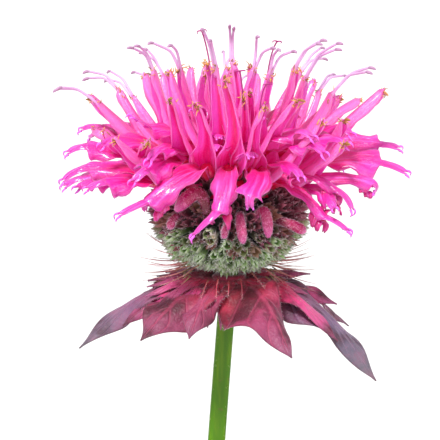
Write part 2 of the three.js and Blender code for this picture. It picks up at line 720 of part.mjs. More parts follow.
const plant = new THREE.Group();
plant.add(piece("pot", potSolid(), { color: 0xb5673f, roughness: 0.85 }));
plant.add(piece("soil", soilSolid(stemHoles), { color: 0x3a2a20, roughness: 0.95 }));
plant.add(piece("flowering_stem", floweringStem(), { color: 0x5c8030, roughness: 0.6 }));
for (const shoot of SHOOTS) {
  plant.add(piece(shoot.name, sideShoot(shoot), { color: 0x5c8030, roughness: 0.6 }));
}
plant.add(piece("bract_whorl", bractWhorl(stemClearance), { color: 0x96506a, roughness: 0.7 }));
plant.add(piece("calyx_head", calyxHead(stemClearance), { color: 0x8a7a78, roughness: 0.75 }));
plant.add(piece("flower_crown", flowerCrown(), { color: 0xe8409a, roughness: 0.5 }));

export default plant;
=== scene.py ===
import math

import bmesh
import bpy
import numpy as np
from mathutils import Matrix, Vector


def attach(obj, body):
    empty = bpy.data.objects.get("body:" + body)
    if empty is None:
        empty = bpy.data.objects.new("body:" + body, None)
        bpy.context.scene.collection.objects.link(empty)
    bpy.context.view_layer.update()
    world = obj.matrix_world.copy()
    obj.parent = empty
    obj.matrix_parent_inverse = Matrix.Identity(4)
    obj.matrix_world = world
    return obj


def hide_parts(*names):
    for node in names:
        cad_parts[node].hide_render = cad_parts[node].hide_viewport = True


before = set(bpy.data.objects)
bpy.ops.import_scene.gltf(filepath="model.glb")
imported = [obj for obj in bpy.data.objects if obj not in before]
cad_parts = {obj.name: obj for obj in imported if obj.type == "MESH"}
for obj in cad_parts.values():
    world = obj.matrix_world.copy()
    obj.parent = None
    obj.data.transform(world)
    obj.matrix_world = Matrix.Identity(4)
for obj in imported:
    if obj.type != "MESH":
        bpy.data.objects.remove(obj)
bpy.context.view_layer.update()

# The room is a wide floor of pale board that rises far out like a shallow dish, so no edge shows behind the
# plant. One broad lamp stands high at the front left, and a weaker one fills from the right.
FLOOR_FLAT = 2.5
FLOOR_REACH = 12.0
FLOOR_RISE = 3.0
FLOOR_SIDES = 64
BOARD_COLOUR = (0.8, 0.8, 0.79, 1)
BOARD_ROUGHNESS = 0.8
SKY_COLOUR = (0.95, 0.97, 1, 1)
SKY_STRENGTH = 0.55
HEAD = (0.004, 0, 0.264)
MM = 0.001

bpy.context.scene.view_settings.view_transform = "Standard"


class Growth:
    """The points, faces and marks of one piece, gathered part by part in millimetres. A mark is four numbers
    at a point that the piece's material reads: how far along and across it is, and two more."""

    def __init__(self):
        self.points, self.marks, self.quads, self.triangles = [], [], [], []
        self.count = 0

    def add(self, points, marks):
        """Adds points and says which number the first of them has."""
        first = self.count
        self.points.append(points.reshape(-1, 3))
        self.marks.append(np.broadcast_to(marks, (*points.shape[:-1], 4)).reshape(-1, 4))
        self.count += len(self.points[-1])
        return first

    def rings(self, rings, marks=(0, 0, 0, 0), capped=True):
        """A tube skinned over rings of points, its ends closed by flat fans."""
        rows, sides = rings.shape[:2]
        first = self.add(rings, marks)
        row, k = np.meshgrid(np.arange(rows - 1), np.arange(sides), indexing="ij")
        a = first + row * sides + k
        b = first + row * sides + (k + 1) % sides
        self.quads.append(np.stack([a, b, b + sides, a + sides], -1).reshape(-1, 4))
        if capped:
            for ring, start in ((0, first), (rows - 1, first + (rows - 1) * sides)):
                centre_mark = np.broadcast_to(marks, (rows, sides, 4))[ring].mean(0)
                self.fan(start, sides, self.add(rings[ring].mean(0)[None], centre_mark))

    def fan(self, start, sides, centre):
        """Triangles from a ring of points to one point."""
        k = np.arange(sides)
        self.triangles.append(np.stack([start + k, start + (k + 1) % sides, np.full(sides, centre)], -1))

    def piece(self, name, material, slot, smooth=True):
        """The finished mesh object in metres, with every face turned outwards."""
        faces = [face for part in (*self.quads, *self.triangles) for face in part.tolist()]
        mesh = bpy.data.meshes.new(name)
        mesh.from_pydata(np.concatenate(self.points) * MM, [], faces)
        layer = mesh.attributes.new("mark", "FLOAT_COLOR", "POINT")
        layer.data.foreach_set("color", np.concatenate(self.marks).astype(np.float32).ravel())
        mesh.polygons.foreach_set("use_smooth", [smooth] * len(faces))
        skin = bmesh.new()
        skin.from_mesh(mesh)
        bmesh.ops.recalc_face_normals(skin, faces=skin.faces)
        skin.to_mesh(mesh)
        skin.free()
        mesh.materials.append(material)
        piece = bpy.data.objects.new(name, mesh)
        bpy.context.scene.collection.objects.link(piece)
        if slot:
            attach(piece, "root")
        return piece


def full_turn(sides):
    """Even steps round a full turn, in radians."""
    return np.linspace(0, 2 * math.pi, sides, endpoint=False)


def lathed(radii, heights, sides):
    """Rings of points round an upright axis, one at each radius and height."""
    turns = full_turn(sides)
    return np.stack([
        radii[:, None] * np.cos(turns), radii[:, None] * np.sin(turns),
        np.broadcast_to(heights[:, None], (len(radii), sides)),
    ], -1)


floor_radii = np.concatenate([np.linspace(0.1, FLOOR_FLAT, 8), np.linspace(FLOOR_FLAT, FLOOR_REACH, 24)[1:]])
floor_heights = FLOOR_RISE * (np.clip(floor_radii - FLOOR_FLAT, 0, None) / (FLOOR_REACH - FLOOR_FLAT)) ** 2
floor_growth = Growth()
floor_growth.rings(lathed(floor_radii, floor_heights, FLOOR_SIDES) / MM, capped=False)
floor_growth.fan(0, FLOOR_SIDES, floor_growth.add(np.zeros((1, 3)), (0, 0, 0, 0)))
board = bpy.data.materials.new("pale_board")
board.use_nodes = True
board_shader = board.node_tree.nodes["Principled BSDF"]
board_shader.inputs["Base Color"].default_value = BOARD_COLOUR
board_shader.inputs["Roughness"].default_value = BOARD_ROUGHNESS
floor = floor_growth.piece("floor", board, None)


def lamp(name, kind, energy, place, **settings):
    """A lamp that shines from its place towards the flower head."""
    light = bpy.data.lights.new(name, kind)
    light.energy = energy
    for key, value in settings.items():
        setattr(light, key, value)
    stand = bpy.data.objects.new(name, light)
    stand.location = place
    aim = Vector(HEAD) - Vector(place)
    stand.rotation_euler = aim.to_track_quat("-Z", "Y").to_euler()
    bpy.context.scene.collection.objects.link(stand)


lamp("key", "SUN", 3.8, (-0.4, -0.8, 1.5), angle=math.radians(10))
lamp("fill", "AREA", 6, (1.3, -1.1, 0.9), size=1.2)

world = bpy.data.worlds.new("room")
bpy.context.scene.world = world
world.use_nodes = True
world.node_tree.nodes["Background"].inputs["Color"].default_value = SKY_COLOUR
world.node_tree.nodes["Background"].inputs["Strength"].default_value = SKY_STRENGTH

# The camera stands at the photograph's viewing angle, a little above the flower head and close to it.
CAMERA_PITCH = math.radians(8)
camera = bpy.data.objects.new("camera", bpy.data.cameras.new("camera"))
camera.data.lens = 100
camera.data.sensor_width = 36
camera.data.clip_start = 0.01
camera.location = (0.00193, -0.27641, 0.30232)
camera_aim = Vector((0, math.cos(CAMERA_PITCH), -math.sin(CAMERA_PITCH)))
camera.rotation_euler = camera_aim.to_track_quat("-Z", "Y").to_euler()
bpy.context.scene.collection.objects.link(camera)
bpy.context.scene.camera = camera

# The pot is plain fired clay, thrown on a wheel and left unglazed: a tapered wall, a thick band at the rim
# and three drain holes through its floor. Lime from the water has dried into pale blooms on it.
POT_HEIGHT = 108
POT_FOOT = 44
POT_SHOULDER = 57
POT_RIM = 62
POT_BAND = 23
POT_WALL = 5
POT_FLOOR = 7
POT_EDGE = 2
POT_SIDES = 128
POT_ROW = 1.4
DRAIN_RADIUS = 3.5
DRAIN_REACH = 21
DRAIN_SIDES = 24
DRAIN_AZIMUTHS = (60, 180, 300)


def pot_inside(z):
    """The radius of the pot's inside at a height."""
    return POT_FOOT - POT_WALL + (POT_RIM - POT_FOOT) * z / POT_HEIGHT


def placed(marks, runs, path):
    """The points of a path at given marks, where runs tells how far along it each of its own points lies."""
    return np.stack([np.interp(marks, runs, path[:, axis]) for axis in range(path.shape[1])], -1)


def run_of(path):
    """How far along a path each of its points lies."""
    return np.concatenate([[0], np.cumsum(np.linalg.norm(np.diff(path, axis=0), axis=1))])


def spaced(path, step):
    """The points of a path filled in so that they stand about one step apart."""
    path = np.asarray(path, float)
    runs = run_of(path)
    return placed(np.linspace(0, runs[-1], max(2, round(runs[-1] / step) + 1)), runs, path)


def eased(path, passes):
    """A path with its corners rounded by averaging each point with its neighbours."""
    path = path.copy()
    for _ in range(passes):
        path[1:-1] = (path[:-2] + 2 * path[1:-1] + path[2:]) / 4
    return path


band_foot = POT_HEIGHT - POT_BAND
pot_outline = eased(spaced([
    (1, 0), (POT_FOOT - POT_EDGE, 0), (POT_FOOT, POT_EDGE), (POT_SHOULDER, band_foot),
    (POT_RIM - POT_EDGE, band_foot), (POT_RIM - POT_EDGE / 2, band_foot + POT_EDGE),
    (POT_RIM, POT_HEIGHT - POT_EDGE), (POT_RIM - POT_EDGE, POT_HEIGHT),
    (pot_inside(POT_HEIGHT) + POT_EDGE / 2, POT_HEIGHT),
    (pot_inside(POT_HEIGHT - POT_EDGE), POT_HEIGHT - POT_EDGE),
    (pot_inside(POT_FLOOR), POT_FLOOR), (1, POT_FLOOR),
], POT_ROW), 1)
pot_turns = full_turn(POT_SIDES)
# Rings from the potter's fingers, a slight wobble and one knock on the rim
radius, height = pot_outline[:, :1], pot_outline[:, 1:]
on_wall = (height > POT_EDGE) & (height < POT_HEIGHT - 1) & (radius > pot_inside(height) + 1)
thrown = 0.09 * np.sin(1.9 * height + 1.3 * np.sin(pot_turns)) + 0.05 * np.sin(4.4 * height + 2 * pot_turns)
wobble = 0.12 * np.sin(pot_turns + 0.7) + 0.08 * np.sin(2 * pot_turns + 1.9)
knock = 0.5 * np.exp(-((pot_turns - 3.6) / 0.05) ** 2 - ((height - POT_HEIGHT) / 1.6) ** 2)
pot_radii = radius + np.where(on_wall, thrown, 0) + wobble * (radius > POT_FOOT - POT_EDGE) - knock


def thrown_rings(radii, heights):
    """Rings of points round the pot's axis, from radii and heights that may vary round each ring."""
    return np.stack(np.broadcast_arrays(radii * np.sin(pot_turns), radii * np.cos(pot_turns), heights), -1)


pot_growth = Growth()
pot_growth.rings(thrown_rings(pot_radii, height))


def paint(red, green, blue):
    """A colour as it looks on a screen, 0 to 255, turned into the numbers that a shader takes."""
    shares = [value / 255 for value in (red, green, blue)]
    return (*[s / 12.92 if s <= 0.04045 else ((s + 0.055) / 1.055) ** 2.4 for s in shares], 1)


class Finish:
    """The surface of one kind of piece: plain numbers on its shader's own sockets, then coats of colour, each
    laid over the last by a share that is read from the piece's marks or from the place on it."""

    def __init__(self, name, sockets):
        self.material = bpy.data.materials.new(name)
        self.material.use_nodes = True
        self.tree = self.material.node_tree
        self.shader = self.tree.nodes["Principled BSDF"]
        for socket, value in sockets.items():
            self.shader.inputs[socket].default_value = value
        self.place = self.put("TexCoord", {}).outputs["Object"]
        self.colour = None

    def fill(self, socket, value):
        """Joins a socket to another node's output, or sets it to a number or colour."""
        if isinstance(value, bpy.types.NodeSocket):
            self.tree.links.new(value, socket)
        else:
            socket.default_value = value

    def put(self, kind, inputs, **settings):
        """A node, with its inputs set to values or joined to other nodes' outputs."""
        node = self.tree.nodes.new("ShaderNode" + kind)
        for name, value in settings.items():
            setattr(node, name, value)
        for name, value in inputs.items():
            self.fill(node.inputs[name], value)
        return node

    def marks(self):
        """The four numbers that the piece's mesh carries at each point."""
        mark = self.put("Attribute", {}, attribute_name="mark")
        kinds = self.put("SeparateColor", {"Color": mark.outputs["Color"]}).outputs
        return kinds["Red"], kinds["Green"], kinds["Blue"], mark.outputs["Alpha"]

    def noise(self, scale, detail, roughness=0.5, place=None):
        """Soft patches, from 0 to 1."""
        inputs = {"Vector": place or self.place, "Scale": scale, "Detail": detail, "Roughness": roughness}
        return self.put("TexNoise", inputs).outputs["Fac"]

    def work(self, kind, *values):
        """One or two values worked into one."""
        node = self.put("Math", {}, operation=kind)
        for socket, value in zip(node.inputs, values):
            self.fill(socket, value)
        return node.outputs[0]

    def times(self, first, second):
        return self.work("MULTIPLY", first, second)

    def plus(self, first, second):
        return self.work("ADD", first, second)

    def off(self, value, middle):
        """How far a value is from a middle one."""
        return self.work("ABSOLUTE", self.work("SUBTRACT", value, middle))

    def spread(self, value, low, high, to_low=0.0, to_high=1.0):
        """A value's span from low to high, eased and spread over another span."""
        inputs = {"Value": value, "From Min": low, "From Max": high, "To Min": to_low, "To Max": to_high}
        return self.put("MapRange", inputs, interpolation_type="SMOOTHSTEP").outputs["Result"]

    def ramp(self, share, *stops):
        """A run of colours along a share. Each stop: where it is, then its red, green and blue."""
        node = self.put("ValToRGB", {"Fac": share})
        elements = node.color_ramp.elements
        while len(elements) < len(stops):
            elements.new(0.5)
        for element, (where, *colour) in zip(elements, stops):
            element.position = where
            element.color = paint(*colour)
        return node.outputs["Color"]

    def blend(self, share, first, second):
        """One colour blended over another by a share."""
        node = self.put("Mix", {}, data_type="RGBA", blend_type="MIX")
        for index, value in ((0, share), (6, first), (7, second)):
            self.fill(node.inputs[index], paint(*value) if isinstance(value, tuple) else value)
        return node.outputs[2]

    def coat(self, share, colour):
        """A further coat of colour over the ones before it."""
        self.colour = self.blend(share, self.colour, colour)

    def tint(self, value, low, high, most, colour):
        """A coat that comes in as a value goes from low to high, up to its greatest share."""
        self.coat(self.spread(value, low, high, 0, most), colour)

    def seal(self, relief=None, depth=0, strength=0):
        """Joins the coats, and fine relief where there is any, to the shader."""
        self.fill(self.shader.inputs["Base Color"], self.colour)
        if relief:
            bump = self.put("Bump", {"Height": relief, "Distance": depth, "Strength": strength})
            self.fill(self.shader.inputs["Normal"], bump.outputs["Normal"])
        return self.material


clay = Finish("fired_clay", {"Roughness": 0.88, "Specular IOR Level": 0.25})
broad, fine, lime = clay.noise(28, 5, 0.6), clay.noise(420, 3), clay.noise(46, 8, 0.7)
level = clay.put("SeparateXYZ", {"Vector": clay.place}).outputs["Z"]
clay.colour = clay.ramp(broad, (0.3, 158, 84, 54), (0.5, 181, 103, 68), (0.72, 197, 124, 88))
clay.tint(fine, 0.55, 0.75, 0.35, (132, 66, 42))
clay.coat(clay.times(clay.spread(lime, 0.5, 0.68), clay.spread(level, 0.075, 0.012, 0, 0.6)), (222, 205, 190))
clay.tint(level, 0.03, 0.0, 0.45, (120, 64, 44))
fired_clay = clay.seal(clay.plus(fine, broad), 0.0003, 0.7)
pot = pot_growth.piece("clay_pot", fired_clay, "clay")

drain_growth = Growth()
drain_turns = full_turn(DRAIN_SIDES)
drain_ring = DRAIN_RADIUS * np.stack([np.cos(drain_turns), np.sin(drain_turns), 0 * drain_turns], -1)
for azimuth in np.radians(DRAIN_AZIMUTHS):
    rim = DRAIN_REACH * np.array([math.sin(azimuth), -math.cos(azimuth), 0]) + drain_ring
    drain_growth.rings(np.stack([rim + (0, 0, -2), rim + (0, 0, POT_FLOOR + 2)]))
drains = drain_growth.piece("drains", fired_clay, None)
cut = pot.modifiers.new("drains", "BOOLEAN")
cut.object = drains
cut.operation = "DIFFERENCE"
bpy.context.view_layer.objects.active = pot
bpy.ops.object.modifier_apply(modifier=cut.name)
bpy.data.objects.remove(drains)
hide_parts("pot")

# The soil is peaty potting mix that fills the pot and mounds up towards the stems. Loose crumbs, chips of
# bark and white grains of perlite lie on it.
SOIL_EDGE = 96
SOIL_MOUND = 4
SOIL_GAP = 0.3
SOIL_RINGS = 40
SOIL_REACH = 53
SOIL_GRAIN = 0.28
# Crumbs, bark and perlite: how many, the least and the greatest size, the shape, the mark, how knocked about
STREWN = [
    (1500, 0.45, 2.2, (1, 0.85, 0.7), 0.3, 0.16),
    (60, 1.2, 3.6, (1.3, 0.45, 0.28), 0.6, 0.14),
    (90, 0.5, 1.25, (1, 0.9, 0.85), 1, 0.12),
]


def soil_height(radius):
    """The mean height of the soil at a distance from the pot's axis."""
    return SOIL_EDGE + SOIL_MOUND * (1 - (radius / pot_inside(SOIL_EDGE)) ** 2)


def soil_top(x, y):
    """The height of the soil's lumpy surface at a place."""
    lumps = 0.4 * np.sin(0.36 * x + 1.1) * np.cos(0.41 * y) + 0.3 * np.sin(0.8 * x + 0.55 * y + 2)
    return soil_height(np.hypot(x, y)) + lumps + 0.2 * np.sin(1.9 * x - 1.4 * y) * np.sin(1.3 * y + 0.7)


soil_foot = thrown_rings(np.array([[1], [pot_inside(POT_FLOOR) - SOIL_GAP]]), POT_FLOOR + SOIL_GAP)
soil_radii = np.array([pot_inside(SOIL_EDGE) - SOIL_GAP, *np.linspace(SOIL_REACH + 0.6, 1.2, SOIL_RINGS)])
soil_surface = thrown_rings(soil_radii[:, None], 0.0)
picks = np.random.default_rng(7)
grain = SOIL_GRAIN * picks.standard_normal(soil_surface.shape[:2])
grain[0] = 0
soil_surface[..., 2] = soil_top(soil_surface[..., 0], soil_surface[..., 1]) + grain
soil_growth = Growth()
soil_growth.rings(np.concatenate([soil_foot, soil_surface]), (0, 0, 0.3, 0))

# Each lump is a ball of these twenty even faces, knocked out of shape
golden = (1 + math.sqrt(5)) / 2
lump_corners = np.array([
    (-1, golden, 0), (1, golden, 0), (-1, -golden, 0), (1, -golden, 0), (0, -1, golden), (0, 1, golden),
    (0, -1, -golden), (0, 1, -golden), (golden, 0, -1), (golden, 0, 1), (-golden, 0, -1), (-golden, 0, 1),
]) / math.hypot(1, golden)
lump_faces = np.array([
    (0, 11, 5), (0, 5, 1), (0, 1, 7), (0, 7, 10), (0, 10, 11), (1, 5, 9), (5, 11, 4), (11, 10, 2), (10, 7, 6),
    (7, 1, 8), (3, 9, 4), (3, 4, 2), (3, 2, 6), (3, 6, 8), (3, 8, 9), (4, 9, 5), (2, 4, 11), (6, 2, 10),
    (8, 6, 7), (9, 8, 1),
])


for count, least, greatest, shape, kind, knocked in STREWN:
    for _ in range(count):
        size = least + (greatest - least) * picks.random() ** 2.5
        reach, turn = SOIL_REACH * math.sqrt(picks.random()), 2 * math.pi * picks.random()
        tilt, swing = picks.normal(0, 0.35, 2), 2 * math.pi * picks.random()
        lump = lump_corners * (1 + knocked * picks.standard_normal((12, 1))) * size * np.array(shape)
        c, s = math.cos(swing), math.sin(swing)
        lump = lump @ np.array([(c, s, 0), (-s, c, 0), (0, 0, 1)])
        lump[:, 2] += lump[:, 0] * tilt[0] + lump[:, 1] * tilt[1]
        x, y = reach * math.sin(turn), reach * math.cos(turn)
        lump += (x, y, float(soil_top(x, y)) + 0.25 * size * shape[2])
        shade = 0.2 + 0.5 * picks.random()
        soil_growth.triangles.append(lump_faces + soil_growth.add(lump, (0, shade, kind, 0)))

peat = Finish("potting_mix", {"Roughness": 0.95, "Specular IOR Level": 0.2})
_, shade, kind, _ = peat.marks()
grains = peat.noise(600, 4)
peat.colour = peat.ramp(
    peat.plus(shade, peat.times(grains, 0.6)), (0.25, 34, 23, 16), (0.6, 66, 47, 33), (0.95, 101, 75, 53))
peat.tint(kind, 0.45, 0.55, 1, (112, 66, 42))
peat.tint(kind, 0.8, 0.9, 1, (222, 218, 208))
soil = soil_growth.piece("potting_soil", peat.seal(grains, 0.0006, 0.8), "soil", smooth=False)
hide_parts("soil")

# The stems are square and green, with a groove down each face and short pale hairs. Pairs of toothed leaves
# on short stalks stand across from each other, each pair turned from the one below it.
STEM_DEPTH = 16
STEM_ROWS = 90
STEM_SIDES = 24
STEM_GROOVE = (0.07, 0.28)
STEM_HAIRS_PER_MM = 2.2
STEM_HAIR = 0.045
LEAF_THICKNESS = 0.5
LEAF_STALK = 0.1
LEAF_COLUMNS = 13
LEAF_STEPS = 160
# Where the points of one tooth of a leaf's edge lie, and how deep the edge is cut in there
TOOTH = [(0.04, 1), (0.36, 0.62), (0.68, 0.28), (0.94, 0)]
VEIN_PAIRS = 8
BLOOM = np.array([4.0, 0, 250])


def draw(i, k):
    """A steady draw between -1 and 1 for item number i and use number k."""
    value = math.sin(i * 12.9898 + k * 78.233 + 4.137) * 43758.5453
    return 2 * (value - math.floor(value)) - 1


def mix(a, b, share):
    return a + (b - a) * share


def ray(azimuth, height):
    """The direction at an azimuth, 0 towards the front and 90 to the right, and a height angle."""
    a, h = np.broadcast_arrays(np.radians(azimuth), np.radians(height))
    return np.stack([np.cos(h) * np.sin(a), -np.cos(h) * np.cos(a), np.sin(h)], -1)


def about(turns, side, up):
    """Directions all round an axis, from one to its side and one up from it."""
    return np.cos(turns)[:, None] * side + np.sin(turns)[:, None] * up


def unit(vectors):
    return vectors / np.maximum(np.linalg.norm(vectors, axis=-1, keepdims=True), 1e-9)


def profile(shares, stops):
    """A smooth run of values through stops of share and value."""
    where, value = np.array(stops, float).T
    shares = np.clip(shares, where[0], where[-1])
    slope = np.gradient(value, where)
    i = np.clip(np.searchsorted(where, shares, side="right") - 1, 0, len(where) - 2)
    span = where[i + 1] - where[i]
    t = (shares - where[i]) / span
    rise = value[i] * (1 + 2 * t) * (1 - t) ** 2 + value[i + 1] * t * t * (3 - 2 * t)
    return rise + span * (slope[i] * t * (1 - t) ** 2 - slope[i + 1] * t * t * (1 - t))


def marked(shape, *marks):
    """The four marks of a grid of points, each one value, or one for every row or point."""
    return np.stack([np.broadcast_to(mark, shape) for mark in marks], -1).astype(float)


class Spine:
    """The curve of a stem: straight up out of the soil, then in an easy curve to its top."""

    def __init__(self, base, top, bow):
        top = np.array(top, float)
        foot = np.array([*base, soil_height(math.hypot(*base)) - STEM_DEPTH])
        ground = foot + (0, 0, STEM_DEPTH + 3)
        knots = np.array([foot, foot + (0, 0, STEM_DEPTH - 2), ground, mix(ground, top, 0.5) + bow, top])
        ends = np.concatenate([[2 * knots[0] - knots[1]], knots, [2 * knots[-1] - knots[-2]]])
        parts = []
        for i in range(len(knots) - 1):
            p0, p1, p2, p3 = ends[i:i + 4]
            d0, d1, d2 = (math.sqrt(np.linalg.norm(b - a)) for a, b in ((p0, p1), (p1, p2), (p2, p3)))
            leave = ((p1 - p0) / d0 - (p2 - p0) / (d0 + d1) + (p2 - p1) / d1) * d1
            arrive = ((p2 - p1) / d1 - (p3 - p1) / (d1 + d2) + (p3 - p2) / d2) * d1
            t = np.linspace(0, 1, 60)[:, None]
            parts.append(p1 + leave * t + (3 * (p2 - p1) - 2 * leave - arrive) * t ** 2
                         + (2 * (p1 - p2) + leave + arrive) * t ** 3)
        self.points = np.concatenate(parts)
        self.runs = run_of(self.points)

    def at(self, share):
        """The points at shares of the curve's length."""
        return placed(np.asarray(share) * self.runs[-1], self.runs, self.points)


def hairs(growth, roots, aims, lengths, width, marks):
    """Straight hairs, each a slim three-sided spike from its root along its aim."""
    aims = unit(aims)
    side = unit(np.cross(aims, np.where(np.abs(aims[:, 2:]) > 0.9, (1.0, 0, 0), (0, 0, 1.0))))
    face = np.cross(aims, side)
    corners = [roots + width * (math.cos(t) * side + math.sin(t) * face) for t in (0, 2.1, 4.2)]
    corners.append(roots + aims * lengths[:, None])
    first = growth.add(np.stack(corners, 1), marks) + 4 * np.arange(len(roots))[:, None]
    for a, b, c in ((0, 1, 3), (1, 2, 3), (2, 0, 3), (0, 2, 1)):
        growth.triangles.append(np.concatenate([first + a, first + b, first + c], 1))


def shell(growth, points, thickness, marks, under=(0, 0, 0, 0)):
    """A thin closed blade over a grid of points, its rows going from the left edge to the right one. Its
    lower side has the marks of the upper one with another four numbers added."""
    normal = unit(np.cross(np.gradient(points, axis=1), np.gradient(points, axis=0)))
    columns = points.shape[1]
    across = np.abs(np.linspace(-1, 1, columns))[None, :, None]
    lift = normal * (1 - 0.6 * across ** 4) * np.reshape(thickness, (-1, 1, 1)) / 2
    loops = np.concatenate([points + lift, (points - lift)[:, ::-1]], 1)
    first = growth.count
    growth.rings(loops, np.concatenate([marks, marks[:, ::-1] + under], 1), capped=False)
    k = np.arange(columns - 1)
    for start in (first, first + (len(points) - 1) * 2 * columns):
        left, right = start + k, start + 2 * columns - 1 - k
        growth.quads.append(np.stack([left, left + 1, right - 1, right], -1))


def frames(path, sides):
    """The directions onwards, to the side and off the face of a path, at each of its points."""
    onwards = unit(np.gradient(path, axis=0))
    sides = np.broadcast_to(sides, path.shape)
    side = unit(sides - (sides * onwards).sum(-1, keepdims=True) * onwards)
    return onwards, side, np.cross(onwards, side)


def spread_out(path, directions, across, off, ahead):
    """A grid of points: each of a path's points spread out to its side, off its face and onwards."""
    onwards, side, face = (direction[:, None] for direction in directions)
    return path[:, None] + side * across[..., None] + face * off[..., None] + onwards * ahead[..., None]


def arched(start, length, steps, shares, aim):
    """The points at shares of a path of even steps. The aim gives each step's direction for its share."""
    dense = np.linspace(0, 1, steps)
    moves = aim((dense[1:] + dense[:-1]) / 2) * length / (steps - 1)
    return placed(shares, dense, np.concatenate([start[None], start + np.cumsum(moves, 0)]))


def stem(growth, line, widths, number):
    """A square stem with blunt corners and grooved faces, and short hairs on its corners."""
    shares = np.linspace(0, 1, STEM_ROWS)
    turns = full_turn(STEM_SIDES)
    square = (np.abs(np.cos(turns)) ** 5 + np.abs(np.sin(turns)) ** 5) ** -0.2
    off_face = np.abs((turns + math.pi / 4) % (math.pi / 2) - math.pi / 4)
    square *= 1 - STEM_GROOVE[0] * np.exp(-(off_face / STEM_GROOVE[1]) ** 2)
    half = mix(*widths, shares) / 2
    outline = np.stack([square * np.cos(turns), square * np.sin(turns), 0 * turns], -1)
    rings = line.at(shares)[:, None] + half[:, None, None] * outline
    growth.rings(rings, marked((STEM_ROWS, STEM_SIDES), shares[:, None], (square - square.min()) * 3, 0, 0))
    count = round(line.runs[-1] * STEM_HAIRS_PER_MM)
    picks = np.random.default_rng(number)
    share, corner = 0.12 + 0.86 * picks.random(count), picks.integers(0, 4, count)
    turn = np.radians(45 + 90 * corner) + 0.12 * picks.standard_normal(count)
    out = np.stack([np.cos(turn), np.sin(turn), 0 * turn], -1)
    roots = line.at(share) + out * (mix(*widths, share) / 2 * 1.16)[:, None]
    aims = out + (0, 0, -0.5) + 0.25 * picks.standard_normal((count, 3))
    hairs(growth, roots, aims, 0.5 + 0.5 * picks.random(count), STEM_HAIR, (0, 0, 0, 1))


def quilted(phase, u, vein_width, fade, rib_width):
    """How far each point of a blade lies on one of its side veins, and on its rib."""
    vein = np.exp(-((phase - np.round(phase)) / vein_width) ** 2) * (1 - fade * np.abs(u))
    return vein, np.exp(-(u / rib_width) ** 2)


def leaf(growth, start, azimuth, rise, fall, length, half_width, teeth, number):
    """A toothed leaf on its short stalk, arched over, quilted between its veins."""
    stalk = np.linspace(0, LEAF_STALK, 5)[:-1]
    cuts = [(tooth + place) / teeth for tooth in range(teeth) for place, _ in TOOTH]
    runs = np.concatenate([(stalk - LEAF_STALK) / (1 - LEAF_STALK), cuts, [0.985, 1]])
    bites = np.concatenate([0 * stalk, [bite for _, bite in TOOTH] * teeth, [0.2, 0]])
    shares = LEAF_STALK + (1 - LEAF_STALK) * runs
    path = arched(start, length, LEAF_STEPS, shares, lambda share: ray(
        azimuth + 8 * draw(number, 1) * share, mix(rise, fall, share)))
    directions = frames(path, ray(azimuth + 90, 0))
    run = np.clip(runs, 0, 1)
    outline = half_width * np.sin(math.pi * run ** 0.62) ** 0.85
    half = np.maximum(outline * (1 - 0.12 * bites), np.where(run > 0.98, 0.18, 0.6))
    u = np.linspace(-1, 1, LEAF_COLUMNS)
    flat = run[:, None] + 0 * u
    vein, rib = quilted(VEIN_PAIRS * flat - 1.7 * np.abs(u) - 0.2, u, 0.13, 0.6, 0.09)
    grown = np.minimum(outline, 6)[:, None] / 6
    ripple = 0.07 * outline[:, None] * np.abs(u) ** 1.6 * np.sin(9 * flat + number + 2.4 * np.sign(u))
    lift = 0.2 * half[:, None] * np.abs(u) - grown * (0.22 * vein + 0.35 * rib) + ripple
    ahead = (0.5 * length / (teeth * 4) * (1 - bites) * (run > 0) * (run < 0.97))[:, None] * np.abs(u) ** 3
    thickness = np.where(runs < 0, 1.3, np.where(run < 0.05, 0.8, LEAF_THICKNESS))
    shell(growth, spread_out(path, directions, half[:, None] * u, lift, ahead), thickness,
          marked(flat.shape, flat, (u + 1) / 2, 0.5 + 0.5 * draw(number, 3), 0))


def leaf_pairs(growth, line, pairs, teeth, seed):
    """Opposite leaves up a stem. Each pair: share of the stem, azimuth, rise, fall, length, half width."""
    for pair, (share, azimuth, rise, fall, length, half_width) in enumerate(pairs):
        for turn in (0, 180):
            number = seed + 2 * pair + turn // 180
            size = 1 + 0.06 * draw(number, 2)
            leaf(growth, line.at(share), azimuth + turn + 6 * draw(number, 4), rise + 5 * draw(number, 5),
                 fall + 6 * draw(number, 6), length * size, half_width * size, teeth, number)


def vein_lines(finish, along, off_rib, pairs, lean, start, vein_edge, rib_edge, rib_core):
    """A blade's rib and its slanting side veins, from 0 beside them to 1 on them."""
    phase = finish.work("SUBTRACT", finish.times(along, pairs), finish.times(off_rib, lean))
    off_vein = finish.off(finish.work("FRACT", finish.plus(phase, start)), 0.5)
    side_veins = finish.spread(off_vein, vein_edge, 0.02, 0, 0.8)
    return finish.work("MAXIMUM", side_veins, finish.spread(off_rib, rib_edge, rib_core))


greenery = Finish("green_leaf", {
    "Roughness": 0.5, "Specular IOR Level": 0.4, "Subsurface Weight": 0.12, "Subsurface Scale": 0.001,
    "Subsurface Radius": (0.4, 1, 0.2), "Sheen Weight": 0.12, "Sheen Roughness": 0.6,
})
along, across, own, hair = greenery.marks()
cloud, speck = greenery.noise(90, 5), greenery.noise(900, 2)
off_rib = greenery.off(across, 0.5)
veins = vein_lines(greenery, along, off_rib, VEIN_PAIRS, 3.4, 0.3, 0.09, 0.04, 0.012)
greenery.colour = greenery.ramp(cloud, (0.3, 58, 92, 30), (0.5, 76, 112, 38), (0.72, 98, 134, 50))
greenery.coat(greenery.times(own, 0.4), (104, 132, 58))
greenery.coat(greenery.times(veins, 0.55), (150, 172, 96))
greenery.tint(off_rib, 0.46, 0.5, 0.4, (118, 84, 62))
greenery.coat(hair, (214, 222, 190))
leaf_skin = greenery.seal(greenery.plus(greenery.times(veins, -0.8), speck), 0.00025, 0.6)

